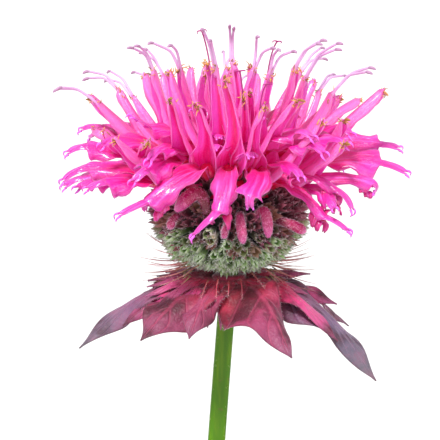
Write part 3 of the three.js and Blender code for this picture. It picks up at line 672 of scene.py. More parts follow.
rind = Finish("green_stem", {
    "Roughness": 0.42, "Specular IOR Level": 0.28, "Subsurface Weight": 0.15, "Subsurface Scale": 0.001,
    "Subsurface Radius": (0.5, 1, 0.2),
})
along, corner, _, hair = rind.marks()
stretch = rind.put("Mapping", {"Vector": rind.place, "Scale": (1, 1, 0.12)}).outputs["Vector"]
streak, speck = rind.noise(1100, 4, place=stretch), rind.noise(700, 3)
rind.colour = rind.ramp(along, (0, 112, 96, 58), (0.16, 92, 112, 40), (0.5, 78, 122, 2), (1, 74, 124, 0))
rind.tint(streak, 0.42, 0.7, 0.5, (120, 154, 8))
# Darker green down the groove in each face: painted shade in the grooves
rind.tint(corner, 0.75, 0.2, 0.35, (62, 96, 18))
rind.tint(speck, 0.62, 0.72, 0.4, (118, 82, 58))
rind.coat(hair, (200, 212, 140))
stem_skin = rind.seal(streak, 0.0002, 0.6)

main_line = Spine((-3, 1), BLOOM + 7 * np.array([0.06, 0, 1]), (-1.5, 0.5, 0))
main_growth, main_leaves = Growth(), Growth()
stem(main_growth, main_line, (4.5, 4), 1)
leaf_pairs(main_leaves, main_line, [
    (0.24, 98, 34, -30, 58, 11.5), (0.43, 8, 34, -36, 64, 12.5), (0.63, 96, 36, -38, 56, 10.5),
], 17, 10)
leaf_pairs(main_leaves, main_line, [(0.435, 50, 62, 30, 20, 3.6), (0.635, 30, 62, 30, 17, 3.2)], 8, 20)
main_stem = main_growth.piece("square_stem", stem_skin, "leaf")
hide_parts("flowering_stem")
main_leaves.piece("stem_leaves", leaf_skin, "leaf")

# Two shorter side shoots have not flowered. They are slimmer than the main stem, with smaller leaves, and end
# in tufts of young ones. Each: where its foot and its top stand, its bow, its seed, its leaves and its tuft.
SHOOT_WIDTHS = (3.2, 2.3)
SHOOTS = [
    ("side_shoot_a", (-25, 17), (-40, 30, 172), (3, -2, 0), 40,
     [(0.38, 158, 28, -24, 36, 7.4), (0.6, 68, 34, -26, 40, 8.2), (0.8, 160, 42, -16, 34, 7)],
     [(0.96, 70, 56, 20, 22, 4.4), (0.985, 160, 72, 50, 15, 3)]),
    ("side_shoot_b", (25, -14), (38, -26, 152), (-3, 2, 0), 60,
     [(0.44, 118, 28, -24, 34, 7.2), (0.72, 30, 36, -22, 36, 7.6)],
     [(0.95, 118, 54, 16, 24, 4.8), (0.98, 32, 70, 46, 15, 3)]),
]
for node, base, top, bow, seed, pairs, tuft in SHOOTS:
    line = Spine(base, top, bow)
    shoot_growth, shoot_leaves = Growth(), Growth()
    stem(shoot_growth, line, SHOOT_WIDTHS, seed)
    leaf_pairs(shoot_leaves, line, pairs, 12, seed)
    leaf_pairs(shoot_leaves, line, tuft, 8, seed + 10)
    for azimuth, length, half_width, number in ((115, 9, 1.5, seed + 30), (295, 8, 1.4, seed + 31)):
        leaf(shoot_leaves, line.at(0.99), azimuth, 84, 70, length, half_width, 5, number)
    shoot = shoot_growth.piece(node + "_stem", stem_skin, "leaf")
    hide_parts(node)
    shoot_leaves.piece(node + "_leaves", leaf_skin, "leaf")

# The bracts are leaf-like but coloured, dusty burgundy to lilac grey. They stand out from one collar on the
# stem just under the head, then bend down over each other in layers, with slim red ones between them.
COLLAR_RADIUS = 4.6
COLLAR_DEPTH = 3.4
COLLAR_SIDES = 40
BRACT_ROWS = 36
BRACT_COLUMNS = 15
BRACT_STEPS = 120
BRACT_THICKNESS = 0.35
BRACT_ROOT = 3
BRACT_SAG = 4
BRACT_TWIST = 34
BRACT_VEIN_PAIRS = 5
BRACT_HAIRS_PER_MM = 3
BRACT_HAIR = 0.035
UPPER_DROP = 0.9
LOWER_DROP = 1.8
SLIM_DROP = 0.3
SLIM_BACK_COUNT = 14
# Azimuth, angle at the root, angle at the tip, length, half width on either side of the rib, tint from 0
# burgundy to 1 lilac grey, and blush from 0 to 1
UPPER_BRACTS = [
    (-70, 24, -40, 25.5, 4.2, 3.8, 0.1, 0.8), (-24, 24, -50, 21.5, 6.4, 4.4, 0.05, 0.25),
    (30, 24, -48, 29.5, 9.4, 3.4, 0.1, 0.3), (58, 24, -44, 29, 2.8, 3.4, 0.2, 1),
    (86, 20, -26, 23, 3.8, 4, 0.25, 0.9),
    (130, 22, -34, 26, 6, 6, 0.3, 0.4), (180, 22, -36, 28, 6.4, 6, 0.5, 0.2),
    (232, 22, -34, 27, 6, 6.4, 0.25, 0.5),
]
LOWER_BRACTS = [
    (-80, 24, -44, 36.5, 4.6, 4.8, 0.95, 0.1), (-46, 24, -40, 26.5, 7.4, 7.6, 0.12, 0.2),
    (69, 22, -56, 40.5, 6.6, 6, 1, 0),
    (108, 22, -44, 32, 6, 6, 0.6, 0.3), (154, 22, -46, 33, 6.6, 6.4, 0.35, 0.4),
    (204, 22, -46, 33, 6.4, 6.4, 0.8, 0.1), (250, 22, -44, 33, 6.2, 6.2, 0.45, 0.3),
]
# Azimuth, the two angles, length, half width and tint of the slim ones
SLIM_BRACTS = [
    (-84, 26, -10, 16, 1.5, 0.2), (-76, 26, -16, 16.5, 1.8, 0.1), (-67, 26, -24, 18, 2.2, 0.05),
    (-57, 26, -32, 18, 2.2, 0.1), (-44, 24, -40, 17, 2.2, 0.05), (-32, 22, -52, 17, 1.9, 0),
    (-20, 20, -62, 15.5, 1.9, 0), (-8, 20, -72, 15, 1.6, 0), (4, 20, -70, 13.5, 1.4, 0),
    (15, 22, -58, 15, 1.7, 0.05), (27, 24, -50, 16, 1.9, 0.05), (42, 24, -44, 16.5, 1.9, 0.1),
    (58, 24, -34, 17, 2.2, 0.15), (72, 24, -22, 16.5, 2, 0.2), (92, 26, -4, 16, 1.6, 0.2),
]


def bract(growth, row, number, drop):
    """A bract: smooth edged and waved, broad in the middle and drawn out to a point."""
    azimuth, root, tip, length, *half_widths, tint, blush = row
    shares = np.linspace(0, 1, BRACT_ROWS)
    start = BLOOM + (0, 0, -drop) + BRACT_ROOT * ray(azimuth, 0)
    path = arched(start, length, BRACT_STEPS, shares, lambda share: ray(
        azimuth + 7 * draw(number, 11) * share,
        mix(root, tip, 1 - (1 - share) ** 1.8) - BRACT_SAG * np.sin(math.pi * share)))
    twist = BRACT_TWIST * math.sin(math.radians(azimuth)) * (abs(azimuth) < 100)
    onwards, side, face = frames(path, ray(azimuth + 90, twist * shares))
    u = np.linspace(-1, 1, BRACT_COLUMNS)
    outline = np.sin(math.pi * shares ** 0.82) ** 1.05 * max(half_widths)
    near = np.where(u < 0, half_widths[0], half_widths[-1]) / max(half_widths)
    half = np.maximum(outline[:, None] * near, np.where(shares > 0.5, 0.12, 1.0)[:, None])
    flat = shares[:, None] + 0 * u
    edge = 1 + 0.06 * np.sin(23 * flat + number * 1.7 + 2 * np.sign(u)) * np.abs(u) ** 2
    wave = 0.36 * outline[:, None] * np.abs(u) ** 2 * np.sin(10.5 * flat + number + 1.9 * np.sign(u))
    vein, rib = quilted(BRACT_VEIN_PAIRS * flat - 1.5 * np.abs(u), u, 0.12, 0.7, 0.1)
    fold = -0.36 * half * np.abs(u) + wave - np.minimum(outline, 4)[:, None] / 4 * (0.3 * vein + 0.4 * rib)
    points = spread_out(path, (onwards, side, face), half * u * edge, fold, 0 * fold)
    shell(growth, points, BRACT_THICKNESS, marked(flat.shape, flat, (u + 1) / 2, tint, 0.5 * blush))
    picks = np.random.default_rng(100 + number)
    count = round(length * BRACT_HAIRS_PER_MM)
    for sign, column in ((-1, 0), (1, -1)):
        share = 0.04 + 0.7 * picks.random(count) ** 1.5
        out = placed(share, shares, side) * sign
        aims = out + 0.6 * placed(share, shares, onwards) + 0.25 * picks.standard_normal((count, 3))
        lengths = (0.5 + 0.7 * picks.random(count)) * (1.2 - share)
        hairs(growth, placed(share, shares, points[:, column]), aims, lengths, BRACT_HAIR, (0, 0, tint, 1))


bract_growth = Growth()
collar_outline = eased(spaced([
    (0.2, -COLLAR_DEPTH), (COLLAR_RADIUS - 1, -COLLAR_DEPTH), (COLLAR_RADIUS, -COLLAR_DEPTH / 2),
    (COLLAR_RADIUS - 0.8, 1), (0.2, 1),
], 0.5), 2)
bract_growth.rings(lathed(*collar_outline.T, COLLAR_SIDES) + BLOOM, (0.05, 0.5, 0.1, 0))
for i, row in enumerate(UPPER_BRACTS):
    bract(bract_growth, row, i, UPPER_DROP)
for i, row in enumerate(LOWER_BRACTS):
    bract(bract_growth, row, 20 + i, LOWER_DROP)
for i, row in enumerate(SLIM_BRACTS):
    bract(bract_growth, (*row, 0.8 + 0.2 * draw(i, 17)), 60 + i, SLIM_DROP)
for i in range(SLIM_BACK_COUNT):
    azimuth = mix(102, 268, (i + 0.5) / SLIM_BACK_COUNT) + 3 * draw(i, 12)
    row = (azimuth, 26, -22 + 12 * draw(i, 14), 16.5 + 2 * draw(i, 13), 1.9 + 0.4 * draw(i, 15), 0.15, 0.4)
    bract(bract_growth, row, 80 + i, SLIM_DROP)

dusky = Finish("bract", {
    "Roughness": 0.5, "Specular IOR Level": 0.35, "Subsurface Weight": 0.15, "Subsurface Scale": 0.001,
    "Subsurface Radius": (1, 0.3, 0.3), "Sheen Weight": 0.2, "Sheen Roughness": 0.5,
    "Sheen Tint": paint(235, 205, 225),
})
along, across, tint, kind = dusky.marks()
cloud, speck = dusky.noise(160, 5), dusky.noise(1500, 2)
off_rib = dusky.off(across, 0.5)
veins = vein_lines(dusky, along, off_rib, BRACT_VEIN_PAIRS, 3, 0.5, 0.12, 0.06, 0.015)
# The burgundy and blush ramps are bright red at the root: partly the bracts' own crimson, partly painted
# light that lifts the shade under the ball
burgundy = dusky.ramp(along, (0, 170, 26, 36), (0.3, 140, 12, 36), (0.5, 110, 22, 46), (1, 98, 42, 66))
# The lilac ramp is near black over its first quarter: painted shadow where the upper bracts cover the roots
# of the lower ones
lilac = dusky.ramp(
    along, (0, 56, 10, 20), (0.28, 66, 20, 36), (0.42, 104, 58, 88), (0.6, 100, 84, 112), (1, 88, 94, 98))
blush = dusky.ramp(along, (0, 236, 44, 72), (0.3, 232, 36, 84), (0.6, 206, 62, 126), (1, 150, 80, 120))
dusky.colour = dusky.blend(tint, burgundy, lilac)
dusky.coat(dusky.times(kind, dusky.spread(cloud, 0.3, 0.6, 1.3, 2)), blush)
dusky.tint(cloud, 0.45, 0.72, 0.35, (170, 92, 124))
# Dark blotches: painted shade for the shadows among the folds
dusky.tint(cloud, 0.54, 0.34, 0.8, (62, 12, 26))
# The side veins are lighter: partly the veins' own colour, partly painted highlight along the pleats
dusky.coat(dusky.times(veins, 0.4), dusky.blend(tint, (186, 60, 98), (132, 104, 130)))
dusky.tint(off_rib, 0.44, 0.5, 0.45, (74, 30, 44))
dusky.tint(kind, 0.6, 0.9, 1, (206, 160, 172))
bract_skin = dusky.seal(dusky.plus(dusky.times(veins, -0.9), speck), 0.0003, 0.8)
bracts = bract_growth.piece("bracts", bract_skin, "bract")
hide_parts("bract_whorl")

# The head is a ball of ribbed calyxes, packed side by side, each ending in five awl-shaped teeth with white
# hairs. The young ones below are grey green and woolly, the older ones above dark maroon, darkened further
# with painted shade where the flowers overhang them.
HEAD_CENTRE = BLOOM + (0, 0, 14)
CALYX_COUNT = 560
CALYX_LOWEST = -62
CALYX_HIGHEST = 30
CALYX_SIDES = 10
CALYX_RIB = 0.86
CALYX_HAIRS = 26
CALYX_HAIR = 0.05
# At each height angle on the ball, how far out the teeth reach, and how ripe the calyxes are
CALYX_REACH = [(-65, 13), (-52, 13.8), (-40, 14.7), (-27, 16), (-10, 17.7), (0, 18), (32, 18.4)]
CALYX_AGE = [(-32, 0), (-25, 0.2), (-21, 0.6), (-16, 0.5), (-12, 0.25), (-7, 0.5), (-2, 0.9), (4, 1)]
# Along a calyx: how far its rows lie from its mouth, how wide they are and how far along they are marked
CALYX_ROWS = [(-6, 0.62, 0), (-3.2, 0.86, 0.35), (-1.2, 0.98, 0.6), (0, 1.06, 0.75)]
GOLDEN_TURN = 137.508
CORE_RADIUS = 12
CORE_SIDES = 36


def calyx(growth, azimuth, height, mouth, tip, radius, flare, age, number):
    """A ribbed tube that widens to five pointed teeth, with hairs on its teeth and its upper ribs."""
    picks = np.random.default_rng(1000 + number)
    out = ray(azimuth, height)
    side = ray(azimuth + 90, 0)
    up = np.cross(out, side)
    around = about(full_turn(CALYX_SIDES) + 0.6 * draw(number, 51), side, up)
    ribs = np.where(np.arange(CALYX_SIDES) % 2 == 0, 1.0, CALYX_RIB)[:, None]
    shade = 0.5 + 0.5 * draw(number, 52)
    reach, wide, along = np.array(CALYX_ROWS).T[:, :, None, None]
    rings = HEAD_CENTRE + out * (mouth + reach) + around * ribs * radius * wide
    first = growth.count
    growth.rings(rings, marked((len(rings), CALYX_SIDES), along[..., 0], shade, age, 0), capped=False)
    outer = first + (len(rings) - 1) * CALYX_SIDES
    rim = HEAD_CENTRE + out * (mouth - 0.1) + around * ribs * radius * 0.84
    inner = growth.add(rim, (0.55, shade, age, 0))
    hollow = growth.add((HEAD_CENTRE + out * (mouth - 1.6))[None], (0, shade, age, 0))
    root = growth.add((HEAD_CENTRE + out * (mouth - 7))[None], (0, shade, age, 0))
    reach = tip + 0.35 * picks.standard_normal(5)
    spikes = HEAD_CENTRE + out * reach[:, None] + around[1::2] * radius * flare
    teeth = growth.add(spikes, (1, shade, age, 0))
    faces = []
    for k in range(5):
        a, b, c, point = 2 * k, 2 * k + 1, (2 * k + 2) % CALYX_SIDES, teeth + k
        faces += [(outer + a, outer + b, point), (outer + b, outer + c, point), (inner + b, inner + a, point),
                  (inner + c, inner + b, point), (inner + a, outer + a, point), (outer + c, inner + c, point)]
    for k in range(CALYX_SIDES):
        after = (k + 1) % CALYX_SIDES
        faces += [(inner + k, inner + after, hollow), (first + after, first + k, root)]
    growth.triangles.append(np.array(faces))
    fringe = about(2 * math.pi * picks.random(CALYX_HAIRS), side, up)
    reach = mouth - 1 + (tip - mouth + 0.6) * picks.random(CALYX_HAIRS)
    roots = HEAD_CENTRE + out * reach[:, None] + fringe * radius * 1.02
    aims = fringe * 0.7 + out * 0.5 + 0.7 * picks.standard_normal((CALYX_HAIRS, 3))
    woolly = 1 + 0.5 * draw(number, 53)
    lengths = woolly * mix(0.75, 0.6, age) * (0.6 + 0.8 * picks.random(CALYX_HAIRS))
    hairs(growth, roots, aims, lengths, CALYX_HAIR, (0.5, shade, age, 1))


def ball(radius, lowest, highest, rows):
    """Rings of a ball round the head's centre, from one height angle to another."""
    heights = np.radians(np.linspace(lowest, highest, rows))
    return lathed(radius * np.cos(heights), radius * np.sin(heights), CORE_SIDES) + HEAD_CENTRE


calyx_growth = Growth()
# The core ball is marked as a calyx root, so it takes the same near-black painted shade
calyx_growth.rings(ball(CORE_RADIUS, -86, 26, 20), (0, 0.5, 0.6, 0))
low, high = math.sin(math.radians(CALYX_LOWEST)), math.sin(math.radians(CALYX_HIGHEST))
for i in range(CALYX_COUNT):
    height = math.degrees(math.asin(mix(low, high, (i + 0.5) / CALYX_COUNT))) + 1.5 * draw(i, 61)
    azimuth = GOLDEN_TURN * i + 4 * draw(i, 62)
    tip = float(profile(height, CALYX_REACH)) + 0.8 * draw(i, 63)
    age = min(1, max(0, float(profile(height, CALYX_AGE)) + 0.36 * draw(i, 64)))
    if age > 0.75 and i % 3 == 0:
        continue
    size = mix(0.88, 1.2, age) * (1 + 0.16 * draw(i, 65))
    calyx(calyx_growth, azimuth, height, tip - mix(1, 1.8, age), tip, size, mix(0.6, 1.1, age), age, i)

woolly = Finish("calyx", {
    "Roughness": 0.6, "Specular IOR Level": 0.3, "Sheen Weight": 0.25, "Sheen Roughness": 0.5,
})
along, shade, age, hair = woolly.marks()
cloud = woolly.noise(400, 4)
# All three ramps run to near black at a calyx's root and in its hollow: painted shade deep between the packed
# calyxes
young = woolly.ramp(along, (0, 16, 22, 8), (0.45, 78, 112, 36), (0.75, 158, 186, 124), (1, 214, 218, 204))
# The older calyxes' dark maroon is partly painted shade under the flowers
old = woolly.ramp(along, (0, 18, 3, 6), (0.4, 58, 14, 26), (0.75, 112, 38, 58), (1, 164, 92, 112))
brown = woolly.ramp(along, (0, 24, 8, 6), (0.5, 122, 74, 56), (1, 150, 96, 92))
faded = woolly.blend(woolly.spread(shade, 0.6, 0.8), old, brown)
pale_hair = woolly.ramp(
    age, (0, 255, 255, 250), (0.45, 252, 238, 246), (0.75, 236, 192, 210), (1, 176, 112, 134))
woolly.colour = woolly.blend(woolly.spread(age, 0.25, 0.7), young, faded)
# Some calyxes are darkened near black at random: painted shade for the gaps among them
woolly.tint(shade, 0.35, 0.05, 0.6, (30, 26, 14))
woolly.tint(cloud, 0.55, 0.75, 0.35, (50, 20, 24))
woolly.coat(hair, pale_hair)
calyx_skin = woolly.seal(cloud, 0.0003, 0.5)
calyxes = calyx_growth.piece("calyxes", calyx_skin, "calyx")
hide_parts("calyx_head")

# Small linear bracts, thin as threads and fringed with hairs, stand out all round between the calyxes and the
# broad bracts. The front ones are short and hang down over the roots of the broad ones.
THREAD_COUNT = 130
THREAD_ROOT = 10
THREAD_ROWS = 9
THREAD_HAIRS = 20
THREAD_HAIR = 0.025


def thread(growth, path, radii, sides, marks):
    """A slim round rod along a path, with its radius at each point."""
    _, side, face = frames(path, unit(np.cross(path[-1] - path[0], (0.31, 0.17, 0.93))))
    around = about(full_turn(sides), side[:, None], face[:, None])
    growth.rings(path[:, None] + around * np.reshape(radii, (-1, 1, 1)), marks)


def bend(start, middle, end, count):
    """Points along a curve that leaves towards a middle point and arrives at an end."""
    t = np.linspace(0, 1, count)[:, None]
    return (1 - t) ** 2 * start + 2 * t * (1 - t) * middle + t * t * end


fringe_growth = Growth()
picks = np.random.default_rng(31)
share = np.linspace(0, 1, THREAD_ROWS)
for i in range(THREAD_COUNT):
    azimuth = 360 / THREAD_COUNT * (i + 0.5 * draw(i, 71))
    front = max(0, math.cos(math.radians(azimuth))) ** 3
    if front > 0.25 and i % 5:
        continue
    layer = i % 4
    start = BLOOM + ray(azimuth, 0) * THREAD_ROOT + (0, 0, 1.4 + 1.5 * layer * (1 - 0.7 * front))
    length = (9.6 + 1.8 * draw(i, 72)) * mix(1, 0.5, front)
    rise = mix(-22 + 14 * layer, -56, front) + 10 * draw(i, 73)
    end = start + length * ray(azimuth + 9 * draw(i, 74), rise)
    middle = start + 0.5 * length * ray(azimuth, rise + mix(-14, 26, front))
    path = bend(start, middle, end, THREAD_ROWS)
    radii = mix(mix(0.18, 0.1, layer / 3), 0.17, front) * (1 - share) ** 0.7 + 0.025
    marks = marked((THREAD_ROWS, 1), share[:, None], 0.5 + 0.5 * draw(i, 75), front, 0)
    thread(fringe_growth, path, radii, 3, marks)
    roots = placed(picks.random(THREAD_HAIRS), share, path)
    aims = picks.standard_normal((THREAD_HAIRS, 3)) + 0.8 * unit(end - start)
    hairs(fringe_growth, roots, aims, 0.5 + 0.8 * picks.random(THREAD_HAIRS), THREAD_HAIR, (0.5, 0.5, 0, 1))

wiry = Finish("fringe", {"Roughness": 0.6, "Specular IOR Level": 0.3})
along, shade, front, hair = wiry.marks()
wiry.colour = wiry.ramp(
    along, (0, 176, 160, 116), (0.3, 204, 110, 120), (0.75, 206, 118, 132), (1, 226, 184, 184))
wiry.coat(wiry.times(shade, 0.5), (176, 142, 112))
wiry.coat(front, wiry.ramp(along, (0, 150, 60, 56), (0.5, 176, 44, 68), (1, 214, 140, 150)))
wiry.coat(hair, (228, 210, 204))
fringe_growth.piece("fringe_bracts", wiry.seal(), "bract")

# Buds that have not opened push out of the calyxes and hook over. They are deep pink clubs in a coat of
# short white fuzz.
BUD_ROWS = 18
BUD_SIDES = 12
BUD_HAIRS = 700
BUD_HAIR = 0.027
BUD_SHAPE = [(0, 1), (0.35, 1.2), (0.7, 1.42), (0.86, 1.36), (0.95, 1), (1, 0.45)]
# The root, the back of the hook and the tip, each as azimuth, height angle and distance from the ball's
# middle, then how thick the bud is
BUDS = [
    ((-18, 9, 16), (-23, 23, 19), (-36, 10.5, 20), 1.1),
    ((8.5, 10, 16), (7, 5, 18.8), (9, -9, 18.8), 0.78),
    ((21, 5, 16), (23, 11, 19.4), (25.5, -5.5, 19.4), 0.84),
    ((40, 4, 16), (46, 1, 18.6), (54, -4, 20.6), 0.82),
    ((-40, 9, 16), (-42, 5, 18.2), (-44, -2, 18.6), 0.66),
    ((-3, 2, 16), (-3, 0, 18), (-4, -6, 18.4), 0.5),
    ((104, 8, 16), (108, 14, 19.2), (116, 2, 20), 1),
    ((150, 4, 16), (148, 8, 18.8), (146, -6, 19), 0.8),
    ((192, 9, 16), (196, 18, 19), (206, 4, 19.8), 1),
    ((228, 3, 16), (226, 7, 18.6), (223, -6, 18.8), 0.8),
    ((238, 6, 16), (240, 12, 19), (246, -2, 19.6), 0.9),
]
bud_growth = Growth()
share = np.linspace(0, 1, BUD_ROWS)
for i, (*knots, width) in enumerate(BUDS):
    start, hook, end = (HEAD_CENTRE + ray(azimuth, height) * reach for azimuth, height, reach in knots)
    path = bend(start, 2 * hook - (start + end) / 2, end, BUD_ROWS)
    radii = width * profile(share, BUD_SHAPE)
    marks = marked((BUD_ROWS, 1), share[:, None], 0.5 + 0.5 * draw(i, 91), 0, 0)
    thread(bud_growth, path, radii, BUD_SIDES, marks)
    picks = np.random.default_rng(300 + i)
    where = picks.random(BUD_HAIRS)
    onwards = unit(placed(where, share, np.gradient(path, axis=0)))
    off = picks.standard_normal((BUD_HAIRS, 3))
    off = unit(off - (off * onwards).sum(-1, keepdims=True) * onwards)
    roots = placed(where, share, path) + off * np.interp(where, share, radii)[:, None] * 0.94
    lengths = 0.2 + 0.4 * picks.random(BUD_HAIRS)
    hairs(bud_growth, roots, off + 0.7 * onwards, lengths, BUD_HAIR, (0.5, 0, 0, 1))

fuzzy = Finish("bud", {
    "Roughness": 0.32, "Specular IOR Level": 0.6, "Sheen Weight": 0.15, "Sheen Roughness": 0.4,
    "Sheen Tint": paint(240, 180, 220),
})
along, shade, _, hair = fuzzy.marks()
cloud = fuzzy.noise(1300, 3)
fuzzy.colour = fuzzy.ramp(along, (0, 84, 4, 32), (0.4, 146, 0, 60), (0.8, 178, 0, 88), (1, 206, 66, 150))
fuzzy.coat(fuzzy.times(shade, 0.25), (176, 84, 136))
# Pale pink patches on the buds: painted highlight
fuzzy.tint(cloud, 0.52, 0.66, 0.45, (236, 120, 180))
fuzzy.coat(hair, (252, 216, 236))
bud_growth.piece("buds", fuzzy.seal(cloud, 0.0003, 0.6), "petal")

# The open flowers are silky hot pink, two-lipped and soft. The lower lip is a ridged strap with its edges
# rolled back, two squared shoulders and a forked tongue. The upper lip is a narrow folded hood, slit below.
FLOWER_THROAT = 20
TUBE_START = 12.5
TUBE_RADIUS = 1.6
# How far along a lip or hood its rows lie: the tube from -0.6 to 0, then to 1 at the tip
LIP_RUNS = np.concatenate([
    np.linspace(-0.6, 0.5, 18), [0.55, 0.59, 0.62, 0.645, 0.665, 0.68, 0.695, 0.71, 0.725, 0.745],
    [0.77, 0.8, 0.84, 0.88, 0.91, 0.94, 0.96, 0.98, 1],
])
LIP_STOPS = (-0.6, 0, 0.7, 1)
LIP_WIDTH = 5.4
LIP_COLUMNS = 13
# Along the lip: how deep its groove is, then its ridges, its ruffled edge and how the edge wavers
LIP_FOLDS = [
    [(-0.6, 0), (0.05, 0), (0.3, 0.35), (0.55, 0.3), (0.7, 0), (1, 0.1)],
    [(-0.6, 0), (0.1, 0), (0.3, 0.22), (0.6, 0.24), (0.7, 0.03), (1, 0)],
    [(-0.6, 0), (0.15, 0), (0.35, 0.45), (0.6, 0.6), (0.72, 0.1), (1, 0.06)],
    [(-0.6, 0), (0.2, 0), (0.35, 0.16), (0.68, 0.16), (0.75, 0.06), (1, 0)],
]
LIP_FORK = [(-0.6, 0), (0.88, 0), (0.93, 0.4), (1, 1.5)]
# The rows of the lip that carry a small lobe on each shoulder, and how far the lobe reaches
LOBES = [(23, 1.7), (20, 1.3)]
LOBED_ROLL = 95
FULL_ROLL = 130
LOBE_HALVES = [(0, 0.9), (0.3, 1.1), (0.6, 0.9), (0.85, 0.6), (1, 0.25)]
HOOD_RUNS = np.linspace(-0.6, 1, 24)
HOOD_STOPS = (-0.6, 0, 1)
HOOD_COLUMNS = 11
# Along the hood: half its width when flat, and how far its edges roll; then its folds, as those of the lip
HOOD_HALVES = [
    (-0.6, 1.5), (0, 4.5), (0.12, 4.7), (0.25, 3.8), (0.4, 3), (0.6, 2.5), (0.8, 2.1), (0.9, 1.8),
    (0.96, 1.3), (1, 0.6),
]
HOOD_ROLLS = [(-0.6, 100), (0, 86), (0.12, 88), (0.25, 100), (0.4, 114), (0.65, 124), (0.9, 132), (1, 110)]
HOOD_FOLDS = (-0.3, 0.12, 0.3, 0.08)
HOOD_HAIRS = 42
HOOD_HAIR = 0.035
TIP_HAIRS = 12
PETAL_THICKNESS = 0.28
STAMEN_ROWS = 16
STAMEN_RADIUS = 0.33
# What is added to a petal's third mark on its underside; its fourth mark; a stamen's third mark
UNDERSIDE = 2
LIP, HOOD, HAIR = 0, 1, 2
STYLE, ANTHER, LOOSE_ANTHER, TIP_HAIR = 0.25, 0.5, 0.65, 0.75
# Each flower: its azimuth and height angle; the hood's rise, swing and length; the lip's droop, swing,
# length, width, twist and the roll of its edges; the tongue's droop, turn and length; the stamens' length;
# 1 with a style
FRONT_FLOWERS = [
    ((-78, 38), (44, -4, 21), (15, -5, 16.7, 5.2, -44, 50), (-7, 0, 5.1), 8.5, 0),
    ((-102, 43), (52, -3, 19), (24, 9, 15.6, 5.6, -38, 50), (4, -3, 5.6), 8.5, 0),
    ((-92, 38), (43, 4, 22.5), (28, 0, 14.2, 5.4, -48, 60), (-4, -23, 4.7), 0, 0),
    ((-62, 34), (24, 54, 19.2), (5, -15, 16.5, 5.2, -46, 70), (-20, -2, 6.7), 0, 0),
    ((-80, 28), (42, 20, 17), (-1, 4, 13.2, 5, -40, 60), (-7, 29, 4.7), 0, 0),
    ((-20, 40), (43, 13, 19.4), (-27, -34, 15.6, 6.8, -34, 115), (-16, -14, 7), 0, 0),
    ((-38, 43), (42, 28, 19.3), (-7, 4, 13, 7, -42, 80), (-20, -6, 4.6), 0, 0),
    ((-56, 28), (36, 10, 16), (0, -4, 12, 6.4, -44, 90), (-8, -10, 5), 0, 0),
    ((-88, 30), (36, -6, 17), (-3, 4, 15.2, 5.6, -40, 70), (-14, 12, 5), 0, 0),
    ((-1, 42), (68, -8, 19.6), (-39, -10, 13.6, 5.8, -8, 122), (-34, -58, 7.6), 0, 0),
    ((10, 47), (50, -8, 19.5), (24, 8, 6, 4.2, 10, 40), (12, -3, 1.5), 0, 1),
    ((23, 42), (44, -16, 19.4), (-20, -30, 14.1, 5, -12, 60), (-80, 0, 2.8), 0, 1),
    ((35, 46), (47, -4, 19.4), (-1, -9, 13.9, 4, 18, 110), (-1, -15, 4), 0, 0),
    ((42, 33), (44, 1, 19.5), (-28, 6, 14.4, 3.8, 20, 130), (-20, 22, 6.4), 0, 0),
    ((52, 40), (54, 14, 21.3), (-14, 4, 14.2, 4, 26, 130), (-39, 6, 6), 9.5, 0),
    ((66, 31), (44, -23, 18.6), (-3, 11, 16.6, 5, 40, 110), (-66, 0, 2.6), 0, 0),
    ((80, 36), (43, 3, 23), (-1, 1, 15.1, 7.8, 52, 50), (-14, -1, 7), 0, 0),
    ((96, 42), (37, 13, 18.6), (5, -9, 17.1, 7.6, 50, 40), (-2, 1, 5.4), 0, 0),
    ((62, 27), (34, -20, 17), (-11, -35, 13.4, 4.6, 30, 120), (-6, -19, 3), 0, 0),
    ((-60, 50), (70, -3, 20.3), (15, -6, 14.5, 5, -44, 60), (-4, 28, 5), 7.5, 0),
    ((-40, 52), (67, -7, 20.3), (9, 9, 13.8, 4.6, -34, 90), (-13, 11, 5.4), 0, 0),
    ((-48, 62), (67, 13, 18.3), (17, -1, 14.1, 5, -40, 60), (36, 10, 5.3), 7.5, 0),
    ((-18, 60), (73, -3, 19.8), (34, 22, 5.5, 4.4, 10, 40), (20, 3, 1.5), 0, 1),
    ((-5, 52), (74, -18, 21.2), (30, -16, 5.5, 4.2, -10, 40), (16, 5, 1.5), 8, 0),
    ((3, 60), (89, 0, 19.9), (40, 8, 5.5, 4.2, -6, 40), (20, -5, 1.5), 7.5, 0),
    ((16, 55), (74, 12, 20), (28, -6, 5.5, 4.2, 14, 40), (14, -9, 1.5), 7.5, 0),
    ((14, 64), (48, -3, 17), (30, 7, 5.5, 4.2, 10, 40), (16, -10, 1.5), 0, 0),
    ((28, 56), (65, 0, 19.5), (22, 20, 13, 4.6, 36, 80), (-2, -12, 5), 7.5, 1),
    ((42, 54), (65, 8, 20.6), (9, 0, 14, 5, 34, 60), (-7, -18, 5.3), 9, 0),
    ((60, 52), (65, -5, 18.7), (14, -3, 13.8, 5, 42, 60), (-1, -24, 5.1), 10, 0),
    ((76, 50), (43, -6, 18.7), (27, -7, 13.2, 5, 40, 70), (-7, -33, 4.9), 0, 0),
]
# How many of these rows, the first ones, are the outer flowers with the deepest colour
OUTER_COUNT = 19
